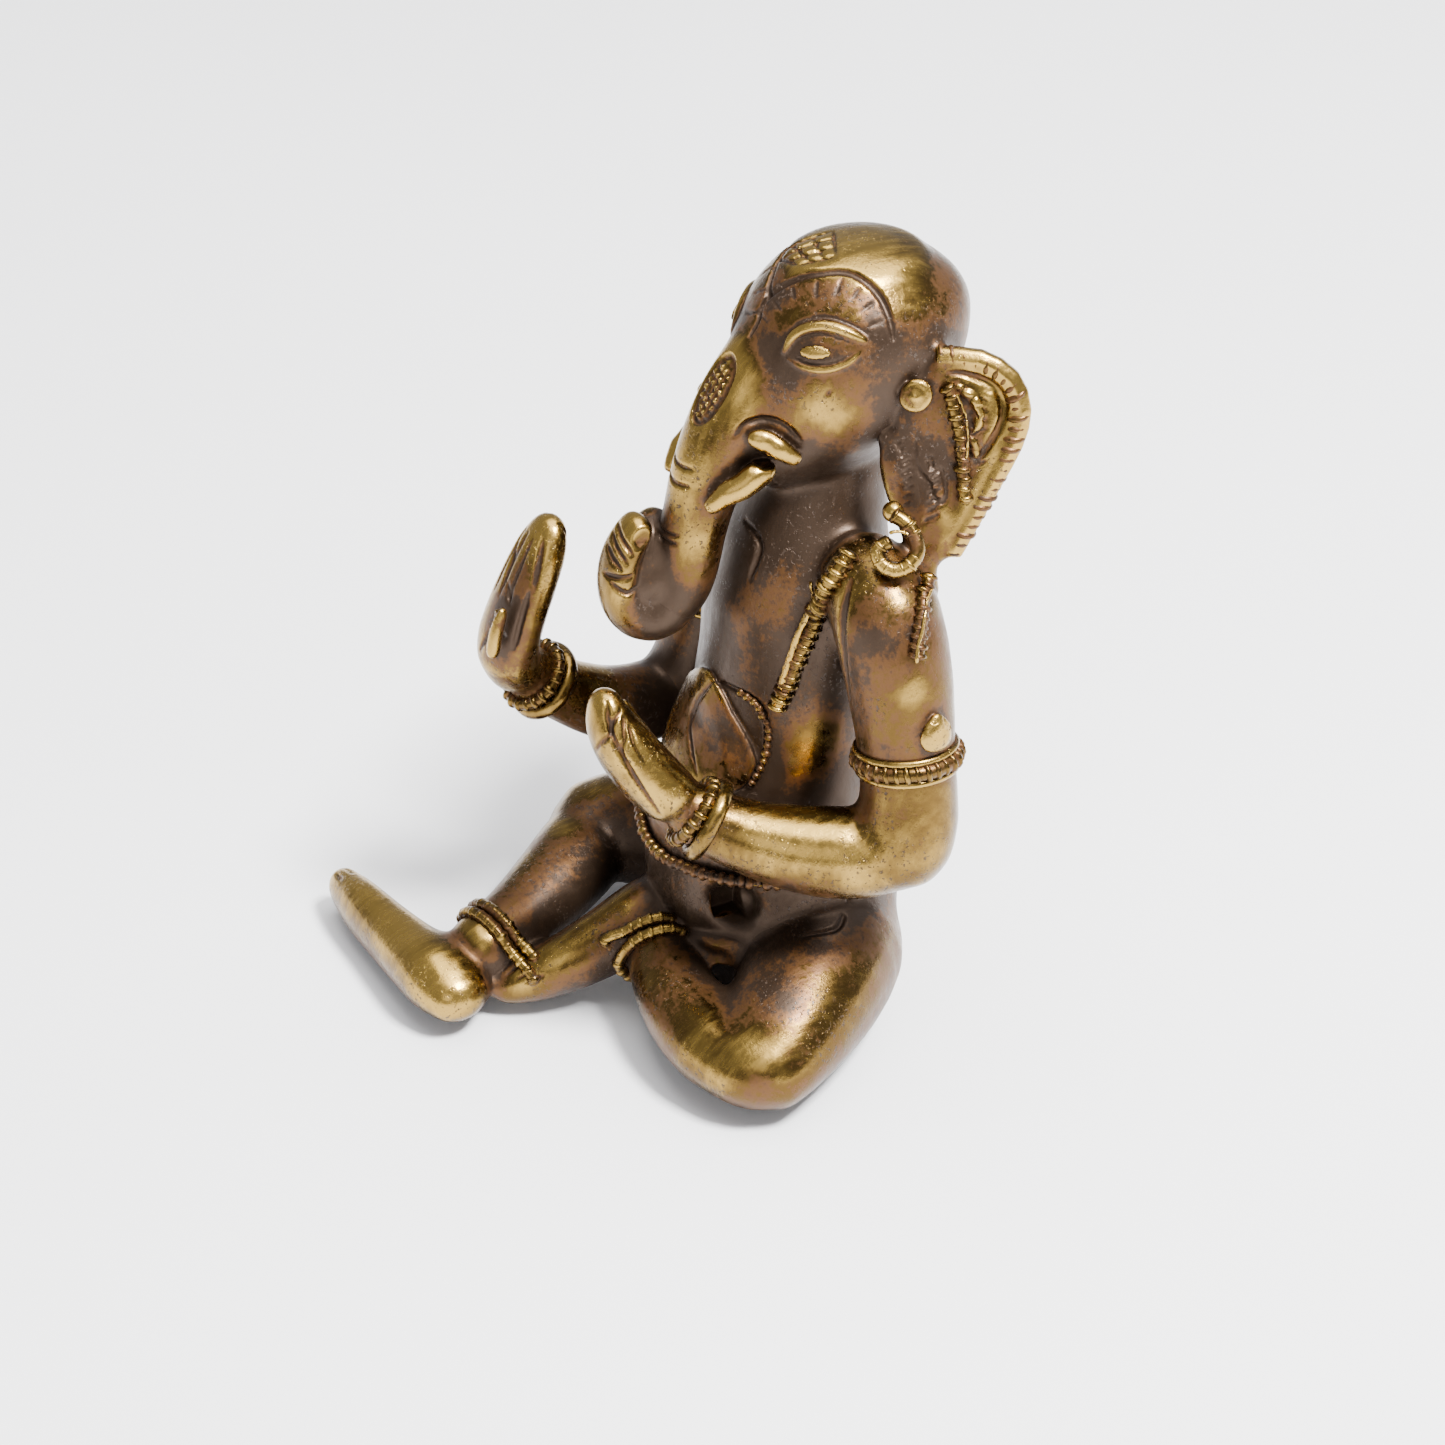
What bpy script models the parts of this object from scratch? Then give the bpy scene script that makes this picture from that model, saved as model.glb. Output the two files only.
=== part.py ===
# Seated brass ganesha figure, cast by lost wax and chased by hand.
# Metres, +Z up. The figure faces -Y and its own left side is +X.
# The limbs are lofted along centre lines, and the ornaments are laid on them.
import math

import bmesh
import bpy
from mathutils import Vector
from mathutils.bvhtree import BVHTree

MM = 0.001
GAP = 0.32 * MM          # clearance kept between neighbouring pieces
LAID_GAP = 0.38 * MM     # clearance under an ornament laid on a body
FLOOR = 0.0              # the seat, thighs and heel are filed flat here

# Centre lines: x, y, z of the centre, half width, half depth, all in millimetres.
TORSO = [
    (0.0, -1.0, 0.0, 15.0, 12.0), (0.0, -1.0, 5.0, 16.2, 13.2), (0.0, -1.8, 12.0, 16.2, 14.8),
    (0.0, -3.4, 19.0, 15.4, 15.0), (0.0, -3.8, 25.0, 14.6, 14.2), (0.0, -2.6, 31.0, 13.6, 12.4),
    (0.0, -1.0, 38.0, 12.4, 10.8), (0.0, 0.0, 46.0, 12.2, 10.6), (0.0, 0.4, 54.0, 12.8, 10.4),
    (0.0, 1.6, 60.5, 12.2, 9.6), (0.0, 2.8, 65.5, 9.4, 8.4), (0.0, 4.0, 70.0, 7.8, 7.6),
    (0.0, 5.2, 75.0, 7.6, 7.4),
]
HEAD = [
    (0.0, -0.4, 72.4, 5.4, 6.6), (0.0, 2.9, 75.0, 8.2, 11.1), (0.0, 4.7, 78.5, 10.3, 12.7),
    (0.0, 5.8, 82.0, 11.4, 13.8), (0.0, 6.9, 86.0, 11.9, 14.0), (0.0, 7.8, 90.0, 11.5, 13.5),
    (0.0, 7.9, 93.0, 10.4, 12.0), (0.0, 7.6, 95.6, 8.2, 9.3),
]
HEAD_SHAPE = {"sides": 26, "steps": 2, "side_hint": (1, 0, 0), "start": 0.3, "end": 0.34, "level": True}
TRUNK = [
    (0.0, -2.6, 86.0, 5.8, 6.0), (0.0, -6.2, 81.5, 5.3, 5.8), (0.0, -9.4, 76.5, 4.7, 5.2),
    (0.0, -11.9, 71.5, 4.0, 4.3), (0.0, -13.2, 66.0, 3.7, 3.8), (-0.2, -14.2, 61.0, 3.6, 3.8),
    (-0.6, -15.8, 57.4, 3.5, 3.7),
]
TRUNK_CURL = [
    (-1.2, -18.4, 55.6, 3.4, 3.4), (-1.8, -21.0, 57.2, 3.3, 2.8), (-2.2, -21.9, 60.6, 3.3, 2.3),
    (-2.2, -21.2, 64.6, 3.2, 1.9), (-1.6, -19.4, 68.2, 2.8, 1.5),
]
UPPER_ARM_LEFT = [
    (13.5, 2.0, 63.0, 5.6, 5.6), (17.5, 2.4, 60.0, 6.4, 6.4), (20.5, 2.8, 52.0, 6.2, 6.2),
    (22.6, 2.8, 43.0, 5.6, 5.6), (24.0, 2.4, 36.0, 5.9, 5.9), (24.2, 1.4, 32.4, 6.0, 6.0),
]
FOREARM_LEFT = [
    (23.4, -0.8, 31.4, 5.6, 5.4), (21.0, -5.6, 31.2, 5.6, 5.3), (18.2, -10.4, 31.9, 5.1, 4.9),
    (15.2, -14.8, 33.2, 4.4, 4.2), (12.6, -18.4, 35.0, 3.9, 3.7), (11.2, -20.3, 36.6, 3.8, 3.4),
]
UPPER_ARM_RIGHT = [
    (-13.5, 1.0, 63.0, 5.6, 5.6), (-16.8, 1.0, 60.0, 6.2, 6.2), (-18.8, 0.4, 52.0, 5.9, 5.9),
    (-19.4, 0.2, 43.0, 5.3, 5.3), (-19.8, -2.0, 35.5, 5.3, 5.3), (-19.8, -3.8, 31.2, 5.4, 5.4),
]
FOREARM_RIGHT = [
    (-19.8, -7.4, 29.4, 5.2, 5.0), (-19.2, -11.4, 29.8, 5.1, 4.9), (-18.6, -16.4, 32.0, 4.6, 4.4),
    (-18.0, -21.4, 35.6, 4.0, 3.9), (-17.6, -24.8, 38.6, 3.7, 3.6), (-17.4, -26.8, 40.6, 3.7, 3.5),
]
HAND_LEFT = [
    (10.4, -21.3, 37.6, 3.9, 3.5), (8.5, -23.7, 40.6, 4.4, 3.7), (6.8, -25.8, 44.2, 4.4, 3.5),
    (5.6, -27.0, 47.2, 3.7, 2.9), (5.0, -27.3, 49.6, 2.7, 2.1),
]
HAND_RIGHT = [
    (-17.2, -27.9, 41.6, 3.8, 3.5), (-16.8, -29.6, 44.6, 4.5, 3.6), (-16.2, -29.0, 49.0, 4.7, 3.2),
    (-15.8, -27.2, 54.0, 4.5, 2.9), (-15.6, -25.2, 58.6, 3.9, 2.6), (-15.6, -24.2, 60.8, 3.0, 2.1),
]
LEG_LEFT = [
    (8.0, 1.0, 9.0, 9.0, 9.0), (12.5, -1.4, 9.2, 9.2, 9.2), (17.5, -6.6, 9.2, 8.9, 9.0),
    (22.0, -12.4, 8.2, 7.6, 8.0), (25.0, -17.0, 6.8, 5.9, 6.8),
]
SHIN_LEFT = [
    (24.6, -18.2, 6.6, 5.4, 6.2), (19.0, -20.6, 7.0, 5.2, 5.8), (12.8, -21.2, 7.6, 4.9, 5.2),
    (6.8, -20.4, 8.4, 4.5, 4.7), (1.6, -18.6, 9.0, 4.2, 4.3), (-1.0, -17.6, 9.2, 4.1, 4.2),
]
LEG_RIGHT = [
    (-8.0, 1.0, 9.0, 9.0, 9.0), (-12.5, -1.8, 9.4, 8.8, 9.0), (-17.4, -7.4, 9.8, 7.8, 8.4),
    (-21.0, -12.0, 10.0, 7.0, 7.6), (-22.6, -15.2, 10.0, 6.2, 6.8),
]
SHIN_RIGHT = [
    (-21.6, -16.4, 9.6, 5.8, 6.2), (-18.2, -21.0, 9.2, 5.6, 5.8), (-15.0, -26.0, 8.8, 5.2, 5.4),
    (-12.4, -31.0, 8.4, 4.5, 4.8), (-10.6, -35.6, 8.0, 4.0, 4.3), (-10.0, -38.6, 7.4, 3.9, 4.2),
]
FOOT_LEFT = [
    (-2.6, -14.8, 11.6, 3.6, 3.6), (-2.6, -18.0, 10.8, 4.6, 4.5), (-2.6, -22.6, 9.0, 4.5, 4.2),
    (-3.0, -28.4, 7.0, 4.1, 3.5), (-4.2, -33.2, 5.2, 3.4, 2.8), (-5.4, -36.6, 3.8, 2.4, 1.9),
]
FOOT_RIGHT = [
    (-5.8, -43.2, 5.2, 3.6, 4.4), (-9.2, -43.6, 5.6, 4.5, 5.0), (-15.0, -44.6, 5.2, 4.2, 4.2),
    (-21.6, -45.4, 4.8, 4.1, 3.4), (-27.6, -46.0, 4.6, 3.9, 2.9), (-33.0, -46.2, 4.4, 2.8, 2.2),
]
# The belly leaf: centre height, half width and half height on the belly's front.
LEAF_CENTRE_Z, LEAF_HALF_WIDTH, LEAF_HALF_HEIGHT, LEAF_THICKNESS = 37.6, 8.6, 7.6, 0.8
LEAF_FRONT_Y, LEAF_WRAP = -13.4, 0.058    # the leaf bends back round the belly
WAIST_CORD = [
    (13.6, -9.0, 23.2), (12.1, -12.0, 23.5), (8.4, -15.5, 23.8), (3.0, -17.8, 22.4),
    (-3.0, -17.8, 22.4), (-8.4, -15.5, 23.8), (-12.1, -12.0, 23.5), (-13.6, -9.0, 23.2),
]
SACRED_THREAD = [
    (12.2, -1.8, 63.4), (11.4, -3.2, 60.6), (10.6, -4.9, 56.1), (9.9, -6.2, 51.0), (9.6, -6.8, 48.0),
]
EYE_LEFT, EYE_RIGHT = (7.9, -1.9, 90.6), (-8.2, -2.6, 88.0)    # set by eye, not quite level
TUSK = [(5.4, -6.6, 76.6, 1.6), (5.3, -9.0, 75.6, 1.7), (4.9, -11.6, 73.9, 1.4), (4.2, -13.6, 71.8, 0.8)]
TUSK_SOCKET = [(4.6, -8.8, 80.2, 0.7), (5.8, -7.8, 80.2, 1.2), (6.6, -5.4, 79.2, 1.3), (7.2, -3.6, 77.8, 0.8)]
EARRING_BEAD, EARRING = (16.6, 3.5, 73.0), (19.6, 2.5, 69.7)
SHOULDER_LOCK = [
    (19.9, 6.2, 65.0), (21.0, 5.2, 64.0), (23.0, 3.2, 62.6), (24.4, 2.2, 60.2), (25.0, 1.6, 57.9),
]
ARMLET_LEAF_LEFT, ARMLET_LEAF_RIGHT = (27.2, 3.6, 49.4), (-25.4, 1.6, 49.4)
HIP_CLOTH = [(14.6, -7.5, 19.5), (15.4, -3.6, 19.3), (15.0, 1.5, 17.6)]
THUMB_LEFT = [(5.6, -22.6, 41.0), (3.4, -23.6, 44.0), (2.6, -24.6, 47.0)]
THUMB_RIGHT = [(-13.4, -32.0, 46.6), (-12.8, -32.8, 50.4), (-13.0, -31.8, 54.4)]
LAP_WEB = (9.2, -15.2, 12.6)
POCKET_CENTRE, POCKET_RADIUS = (10.4, -13.4, 19.0), 3.3
# Ear plate: outline runs out along the plate and down it, measured from its root.
EAR_ROOT = (10.8, 9.6, 89.0)
EAR_OUT = (0.46, 0.86, 0.22)
EAR_DOWN = (0.26, 0.02, -0.965)
EAR_OUTLINE = [
    (-2.0, 0.0), (2.5, 0.4), (6.9, 1.6), (10.2, 4.6), (11.0, 8.5), (9.6, 12.3), (6.6, 16.5),
    (3.5, 20.7), (1.1, 23.9), (-1.0, 24.6), (-1.9, 20.9), (-3.5, 16.9), (-4.9, 13.0),
    (-5.2, 8.2), (-4.5, 3.6), (-3.6, 1.4),
]
EAR_THICKNESS = 1.7
EAR_RIDGE = [(3.3, 4.0), (4.5, 7.7), (4.2, 12.0), (3.0, 15.6)]
EAR_LEAF_FRONT = [(-2.4, 7.6, 0.7), (-3.0, 10.0, 1.2), (-3.2, 13.0, 1.2), (-2.8, 16.6, 0.6)]
EAR_LEAF_REAR = [(0.4, 8.0, 0.7), (0.3, 11.0, 1.3), (0.0, 14.4, 1.2), (-0.4, 18.4, 0.6)]

BRASS = (0.52, 0.36, 0.13)
DARK_BRASS = (0.23, 0.14, 0.07)

pieces = {}


def new_material(name, colour, roughness):
    material = bpy.data.materials.new(name)
    material.use_nodes = True
    shader = material.node_tree.nodes["Principled BSDF"]
    shader.inputs["Base Color"].default_value = (*colour, 1.0)
    shader.inputs["Roughness"].default_value = roughness
    shader.inputs["Metallic"].default_value = 1.0
    return material


def register(name, bm, colour, roughness=0.38):
    """Makes a named object whose origin is the middle of its own mesh."""
    bmesh.ops.recalc_face_normals(bm, faces=bm.faces)
    centre = sum((v.co for v in bm.verts), Vector()) / len(bm.verts)
    bmesh.ops.translate(bm, verts=bm.verts, vec=-centre)
    mesh = bpy.data.meshes.new(name)
    bm.to_mesh(mesh)
    bm.free()
    mesh.shade_smooth()
    mesh.materials.append(new_material(name + "_brass", colour, roughness))
    piece = bpy.data.objects.new(name, mesh)
    piece.location = centre
    bpy.context.scene.collection.objects.link(piece)
    pieces[name] = piece
    return piece


def smooth_stations(stations, steps):
    """Catmull-Rom curve through the stations, on all five of their numbers."""
    count = len(stations)
    result = []
    for i in range(count - 1):
        p0 = stations[max(i - 1, 0)]
        p1 = stations[i]
        p2 = stations[i + 1]
        p3 = stations[min(i + 2, count - 1)]
        for k in range(steps):
            t = k / steps
            row = []
            for a, b, c, d in zip(p0, p1, p2, p3):
                row.append(0.5 * (2 * b + (c - a) * t + (2 * a - 5 * b + 4 * c - d) * t * t
                                  + (3 * b - a - 3 * c + d) * t * t * t))
            result.append(tuple(row))
    result.append(stations[-1])
    return result


def frames_along(rows, side_hint):
    """Centre, tangent, side and depth directions of each section."""
    centres = [Vector(row[:3]) for row in rows]
    frames = []
    for i, centre in enumerate(centres):
        ahead = centres[min(i + 1, len(centres) - 1)]
        behind = centres[max(i - 1, 0)]
        tangent = (ahead - behind).normalized()
        side = (side_hint - tangent * side_hint.dot(tangent)).normalized()
        depth = tangent.cross(side)
        frames.append((centre, tangent, side, depth))
    return frames


def section(frame, half_width, half_depth, sides, shift=0.0):
    centre, tangent, side, depth = frame
    ring = []
    for k in range(sides):
        angle = 2 * math.pi * k / sides
        point = centre + tangent * shift
        point = point + side * (half_width * math.cos(angle))
        ring.append(point + depth * (half_depth * math.sin(angle)))
    return ring


def skin(bm, rings, start_pole, end_pole, floor):
    """Joins the rings into one closed skin, ended by poles or by flat caps."""
    def add(point):
        spot = point * MM
        if floor:
            spot.z = max(spot.z, FLOOR)
        return bm.verts.new(spot)

    loops = [[add(p) for p in ring] for ring in rings]
    sides = len(loops[0])
    for low, high in zip(loops, loops[1:]):
        for k in range(sides):
            n = (k + 1) % sides
            bm.faces.new((low[k], low[n], high[n], high[k]))
    for loop, pole in ((loops[0], start_pole), (loops[-1], end_pole)):
        if pole is None:
            bm.faces.new(loop)
            continue
        tip = add(pole)
        for k in range(sides):
            bm.faces.new((loop[k], loop[(k + 1) % sides], tip))


def limb_mesh(stations, sides, steps, side_hint, start=0.9, end=0.9, grow=0.0, floor=False,
              span=None, parting=False, level=False):
    """Elliptic loft. start and end are the dome heights over the end radius, 0 for flat.

    span keeps only the stations between two of them, and parting moves a flat start on
    by the clearance, where two pieces follow one centre line. level keeps the sections
    horizontal, where a centre line leans more than the shape does.
    """
    rows = smooth_stations(stations, steps)
    frames = frames_along(rows, Vector(side_hint))
    if level:
        frames = [(f[0], Vector((0, 0, 1)), Vector((1, 0, 0)), Vector((0, 1, 0))) for f in frames]
    if span:
        rows = rows[span[0] * steps:span[1] * steps + 1]
        frames = frames[span[0] * steps:span[1] * steps + 1]
    if parting:
        frames[0] = (frames[0][0] + frames[0][1] * (GAP / MM),) + frames[0][1:]
    rings = [section(f, r[3] + grow, r[4] + grow, sides) for f, r in zip(frames, rows)]
    poles = []
    for which, dome in ((0, start), (-1, end)):
        if dome == 0:
            poles.append(None)
            continue
        frame, row = frames[which], rows[which]
        sign = -1 if which == 0 else 1
        radius = 0.5 * (row[3] + row[4]) + grow
        extra = []
        for angle in (34, 66):
            a = math.radians(angle)
            extra.append(section(frame, (row[3] + grow) * math.cos(a), (row[4] + grow) * math.cos(a),
                                 sides, sign * dome * radius * math.sin(a)))
        poles.append(frame[0] + frame[1] * (sign * dome * radius))
        rings = list(reversed(extra)) + rings if which == 0 else rings + extra
    bm = bmesh.new()
    skin(bm, rings, poles[0], poles[1], floor)
    return bm


def limb(name, stations, sides=20, steps=3, side_hint=(1, 0, 0), colour=BRASS, **options):
    return register(name, limb_mesh(stations, sides, steps, side_hint, **options), colour)


def cut(target, stations, sides, steps, side_hint, **options):
    """Cuts the target back from a neighbour's shape, grown by the clearance."""
    cutter_mesh = bpy.data.meshes.new("cutter")
    bm = limb_mesh(stations, sides, steps, side_hint, grow=GAP / MM, **options)
    bmesh.ops.recalc_face_normals(bm, faces=bm.faces)
    bm.to_mesh(cutter_mesh)
    bm.free()
    cutter = bpy.data.objects.new("cutter", cutter_mesh)
    bpy.context.scene.collection.objects.link(cutter)
    apply_difference(target, cutter)


def apply_difference(target, cutter):
    modifier = target.modifiers.new("clearance", "BOOLEAN")
    modifier.operation = "DIFFERENCE"
    modifier.solver = "EXACT"
    modifier.object = cutter
    graph = bpy.context.evaluated_depsgraph_get()
    graph.update()
    result = bpy.data.meshes.new_from_object(target.evaluated_get(graph))
    target.modifiers.remove(modifier)
    target.data = result
    cutter_data = cutter.data
    bpy.data.objects.remove(cutter)
    bpy.data.meshes.remove(cutter_data)
    keep_largest_body(target)


def keep_largest_body(target):
    """Drops the slivers that a cut leaves beside the main body."""
    bm = bmesh.new()
    bm.from_mesh(target.data)
    bmesh.ops.remove_doubles(bm, verts=bm.verts, dist=0.00001)
    bmesh.ops.dissolve_degenerate(bm, edges=bm.edges, dist=0.00001)
    unseen = set(bm.verts)
    bodies = []
    while unseen:
        first = next(iter(unseen))
        unseen.discard(first)
        body, stack = [first], [first]
        while stack:
            for edge in stack.pop().link_edges:
                for vert in edge.verts:
                    if vert in unseen:
                        unseen.discard(vert)
                        body.append(vert)
                        stack.append(vert)
        bodies.append(body)
    bodies.sort(key=len, reverse=True)
    for body in bodies[1:]:
        bmesh.ops.delete(bm, geom=body, context="VERTS")
    bmesh.ops.triangulate(bm, faces=bm.faces)
    bm.to_mesh(target.data)
    bm.free()
    target.data.shade_smooth()


def surface_of(*names):
    """Search tree over the named pieces' surfaces, in world space."""
    verts, polygons = [], []
    for name in names:
        piece = pieces[name]
        base = len(verts)
        verts.extend(piece.location + v.co for v in piece.data.vertices)
        polygons.extend(tuple(base + i for i in p.vertices) for p in piece.data.polygons)
    return BVHTree.FromPolygons(verts, polygons)


def lay_on(tree, point, clearance):
    """Nearest place above the surface, at the given clearance from all of it."""
    near, normal, _, _ = tree.find_nearest(Vector(point) * MM)
    spot = near + normal * clearance
    for _ in range(8):
        near, _, _, distance = tree.find_nearest(spot)
        if distance >= clearance * 0.999:
            break
        away = (spot - near).normalized() if distance > 1e-6 else normal
        spot = near + away * clearance
    return spot / MM, (spot - near).normalized()


def laid_tube(name, tree, points, radius, sides=8, steps=4, colour=BRASS, flat=1.0):
    """A strand lying on a surface. Each point is near its route, with its own radius if given."""
    stations = [tuple(p) + (radius,) if len(p) == 3 else tuple(p) for p in points]
    rows, normals = [], []
    for row in smooth_stations(stations, steps):
        spot, normal = lay_on(tree, row[:3], row[3] * max(flat, 0.75) * MM + LAID_GAP)
        rows.append((spot, row[3]))
        normals.append(normal)
    rings = []
    for i, (spot, reach) in enumerate(rows):
        ahead = rows[min(i + 1, len(rows) - 1)][0]
        behind = rows[max(i - 1, 0)][0]
        tangent = (ahead - behind).normalized()
        side = tangent.cross(normals[i]).normalized()
        depth = side.cross(tangent)
        rings.append(section((spot, tangent, side, depth), reach, reach * flat, sides))
    bm = bmesh.new()
    skin(bm, rings, None, None, False)
    return register(name, bm, colour)


def free_tube(name, points, radius, hint, sides=8, steps=4, colour=BRASS):
    """A strand through the points themselves, ended flat."""
    stations = [tuple(p) + (radius, radius) for p in points]
    return register(name, limb_mesh(stations, sides, steps, hint, start=0, end=0), colour)


def band(name, stations, first, last, side_hint, height, sides=16, steps=6, colour=BRASS):
    """A ring round a limb, between two fractions of its centre line."""
    rows = smooth_stations(stations, steps)
    frames = frames_along(rows, Vector(side_hint))
    total = len(rows) - 1
    clear = GAP / MM + 0.04
    bm = bmesh.new()
    loops = []
    for t, rise in ((0, 0), (0.2, height), (0.8, height), (1, 0)):
        spot = (first + (last - first) * t) * total
        i = int(spot)
        f = spot - i
        row = [a + (b - a) * f for a, b in zip(rows[i], rows[i + 1])]
        frame = tuple(a.lerp(b, f) for a, b in zip(frames[i], frames[i + 1]))
        ring = section(frame, row[3] + clear + rise, row[4] + clear + rise, sides)
        loops.append([bm.verts.new(p * MM) for p in ring])
    for low, high in zip(loops, loops[1:] + loops[:1]):
        for k in range(sides):
            n = (k + 1) % sides
            bm.faces.new((low[k], low[n], high[n], high[k]))
    return register(name, bm, colour)


def flat_sheet(centre, across, down):
    """Places a leaf's points on a plane in front of the surface that it is laid on."""
    centre, across, down = Vector(centre), Vector(across).normalized(), Vector(down).normalized()
    return lambda a, d: centre + across * a + down * d


def laid_patch(name, tree, sheet, outline, thickness, rings=3, sides=20, colour=BRASS):
    """A thin raised leaf that follows the surface under it.

    outline(angle) gives the leaf's reach across and down, in millimetres, and sheet
    places it in space.
    """
    bm = bmesh.new()
    layers = []
    for rise in (LAID_GAP / MM, LAID_GAP / MM + thickness):
        upper = rise > LAID_GAP / MM
        middle, _ = lay_on(tree, sheet(0, 0), rise * MM)
        loops = []
        for r in range(1, rings + 1):
            f = r / rings
            loop = []
            for k in range(sides):
                a, d = outline(2 * math.pi * k / sides)
                fall = 0.55 * thickness if r == rings and upper else 0.0
                place, _ = lay_on(tree, sheet(a * f, d * f), (rise - fall) * MM)
                loop.append(bm.verts.new(place * MM))
            loops.append(loop)
        layers.append((bm.verts.new(middle * MM), loops))
    for pole, loops in layers:
        for k in range(sides):
            bm.faces.new((pole, loops[0][k], loops[0][(k + 1) % sides]))
        for inner, outer in zip(loops, loops[1:]):
            for k in range(sides):
                n = (k + 1) % sides
                bm.faces.new((inner[k], inner[n], outer[n], outer[k]))
    low, high = layers[0][1][-1], layers[1][1][-1]
    for k in range(sides):
        n = (k + 1) % sides
        bm.faces.new((low[k], low[n], high[n], high[k]))
    return register(name, bm, colour)


def ball(name, centre, radius, colour=BRASS, stretch=(1, 1, 1)):
    bm = bmesh.new()
    bmesh.ops.create_uvsphere(bm, u_segments=10, v_segments=7, radius=radius * MM)
    bmesh.ops.scale(bm, verts=bm.verts, vec=stretch)
    bmesh.ops.translate(bm, verts=bm.verts, vec=Vector(centre) * MM)
    return register(name, bm, colour)


def almond(name, tree, near, along, sizes, colour=BRASS):
    """A lens with a flat back, laid on the surface nearest to a place, long side along."""
    spot, normal, _, _ = tree.find_nearest(Vector(near) * MM)
    across = (Vector(along) - normal * normal.dot(Vector(along))).normalized()
    down = normal.cross(across)
    bm = bmesh.new()
    bmesh.ops.create_uvsphere(bm, u_segments=16, v_segments=8, radius=MM)
    for vert in bm.verts:
        place = across * (vert.co.x * sizes[0]) + down * (vert.co.y * sizes[1])
        vert.co = spot + place + normal * (max(vert.co.z, 0.0) * sizes[2] + LAID_GAP)
    return register(name, bm, colour)


def mirrored(vector, side):
    return Vector((vector[0] * side, vector[1], vector[2]))


def ear_frame(side):
    """Root, outward, downward and outer-face directions of one ear plate."""
    out = mirrored(EAR_OUT, side).normalized()
    down = mirrored(EAR_DOWN, side).normalized()
    face = down.cross(out).normalized() * side
    return mirrored(EAR_ROOT, side), out, down, face


def on_ear(side, u, v, rise=0.0):
    root, out, down, face = ear_frame(side)
    return root + out * u + down * v + face * rise


def ear_plate(name, side):
    """A flat leaf of metal with bevelled edges, a little fuller in the middle."""
    inset = [(u * 0.80 + 0.1, v * 0.90 + 1.5) for u, v in EAR_OUTLINE]
    middle_u = sum(u for u, _ in inset) / len(inset)
    middle_v = sum(v for _, v in inset) / len(inset)
    bm = bmesh.new()
    edge = [bm.verts.new(on_ear(side, u, v) * MM) for u, v in inset]
    for face in (1, -1):
        loops = [edge]
        for scale, rise in ((0.86, 0.42), (0.5, 0.5)):
            loop = []
            for u, v in inset:
                place = on_ear(side, middle_u + (u - middle_u) * scale,
                               middle_v + (v - middle_v) * scale, face * rise * EAR_THICKNESS)
                loop.append(bm.verts.new(place * MM))
            loops.append(loop)
        pole = bm.verts.new(on_ear(side, middle_u, middle_v, face * 0.5 * EAR_THICKNESS) * MM)
        count = len(inset)
        for outer, inner in zip(loops, loops[1:]):
            for k in range(count):
                n = (k + 1) % count
                bm.faces.new((outer[k], outer[n], inner[n], inner[k]))
        for k in range(count):
            bm.faces.new((loops[-1][k], loops[-1][(k + 1) % count], pole))
    return register(name, bm, BRASS)


def turned_boss(name, side, u, v, rise):
    """A small turned stud: a ring wall with a round bump in its middle."""
    centre = on_ear(side, u, v, rise)
    _, out, down, face = ear_frame(side)
    profile = [(0.0, 1.15), (0.55, 0.95), (0.85, 0.45), (1.25, 0.45), (1.5, 0.85), (1.85, 0.6),
               (1.9, 0.0), (0.9, -0.1), (0.0, -0.1)]
    bm = bmesh.new()
    rings = []
    for radius, height in profile[1:-1]:
        ring = []
        for k in range(14):
            a = 2 * math.pi * k / 14
            place = centre + out * (radius * math.cos(a)) + down * (radius * math.sin(a)) + face * height
            ring.append(bm.verts.new(place * MM))
        rings.append(ring)
    for low, high in zip(rings, rings[1:]):
        for k in range(14):
            n = (k + 1) % 14
            bm.faces.new((low[k], low[n], high[n], high[k]))
    for ring, height in ((rings[0], profile[0][1]), (rings[-1], profile[-1][1])):
        pole = bm.verts.new((centre + face * height) * MM)
        for k in range(14):
            bm.faces.new((ring[k], ring[(k + 1) % 14], pole))
    return register(name, bm, BRASS)


for old in list(bpy.data.objects):
    bpy.data.objects.remove(old)

X_HINT = (1, 0, 0)
Z_HINT = (0, 0, 1)
Y_HINT = (0, 1, 0)

# Body: the torso is the core of the figure, with the neck at its top.
torso = limb("torso", TORSO, sides=26, steps=1, start=0, end=0.5, floor=True)
cut(torso, HEAD, **HEAD_SHAPE)

# Head and trunk.
head = limb("head", HEAD, **HEAD_SHAPE)
trunk_line = TRUNK + TRUNK_CURL
last_trunk = len(TRUNK) - 1
trunk = limb("trunk", trunk_line, sides=16, steps=2, start=0.5, end=0, span=(0, last_trunk))
cut(trunk, HEAD, **HEAD_SHAPE)
limb("trunk_curl", trunk_line, sides=16, steps=2, start=0, end=0.5,
     span=(last_trunk, len(trunk_line) - 1), parting=True)

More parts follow.
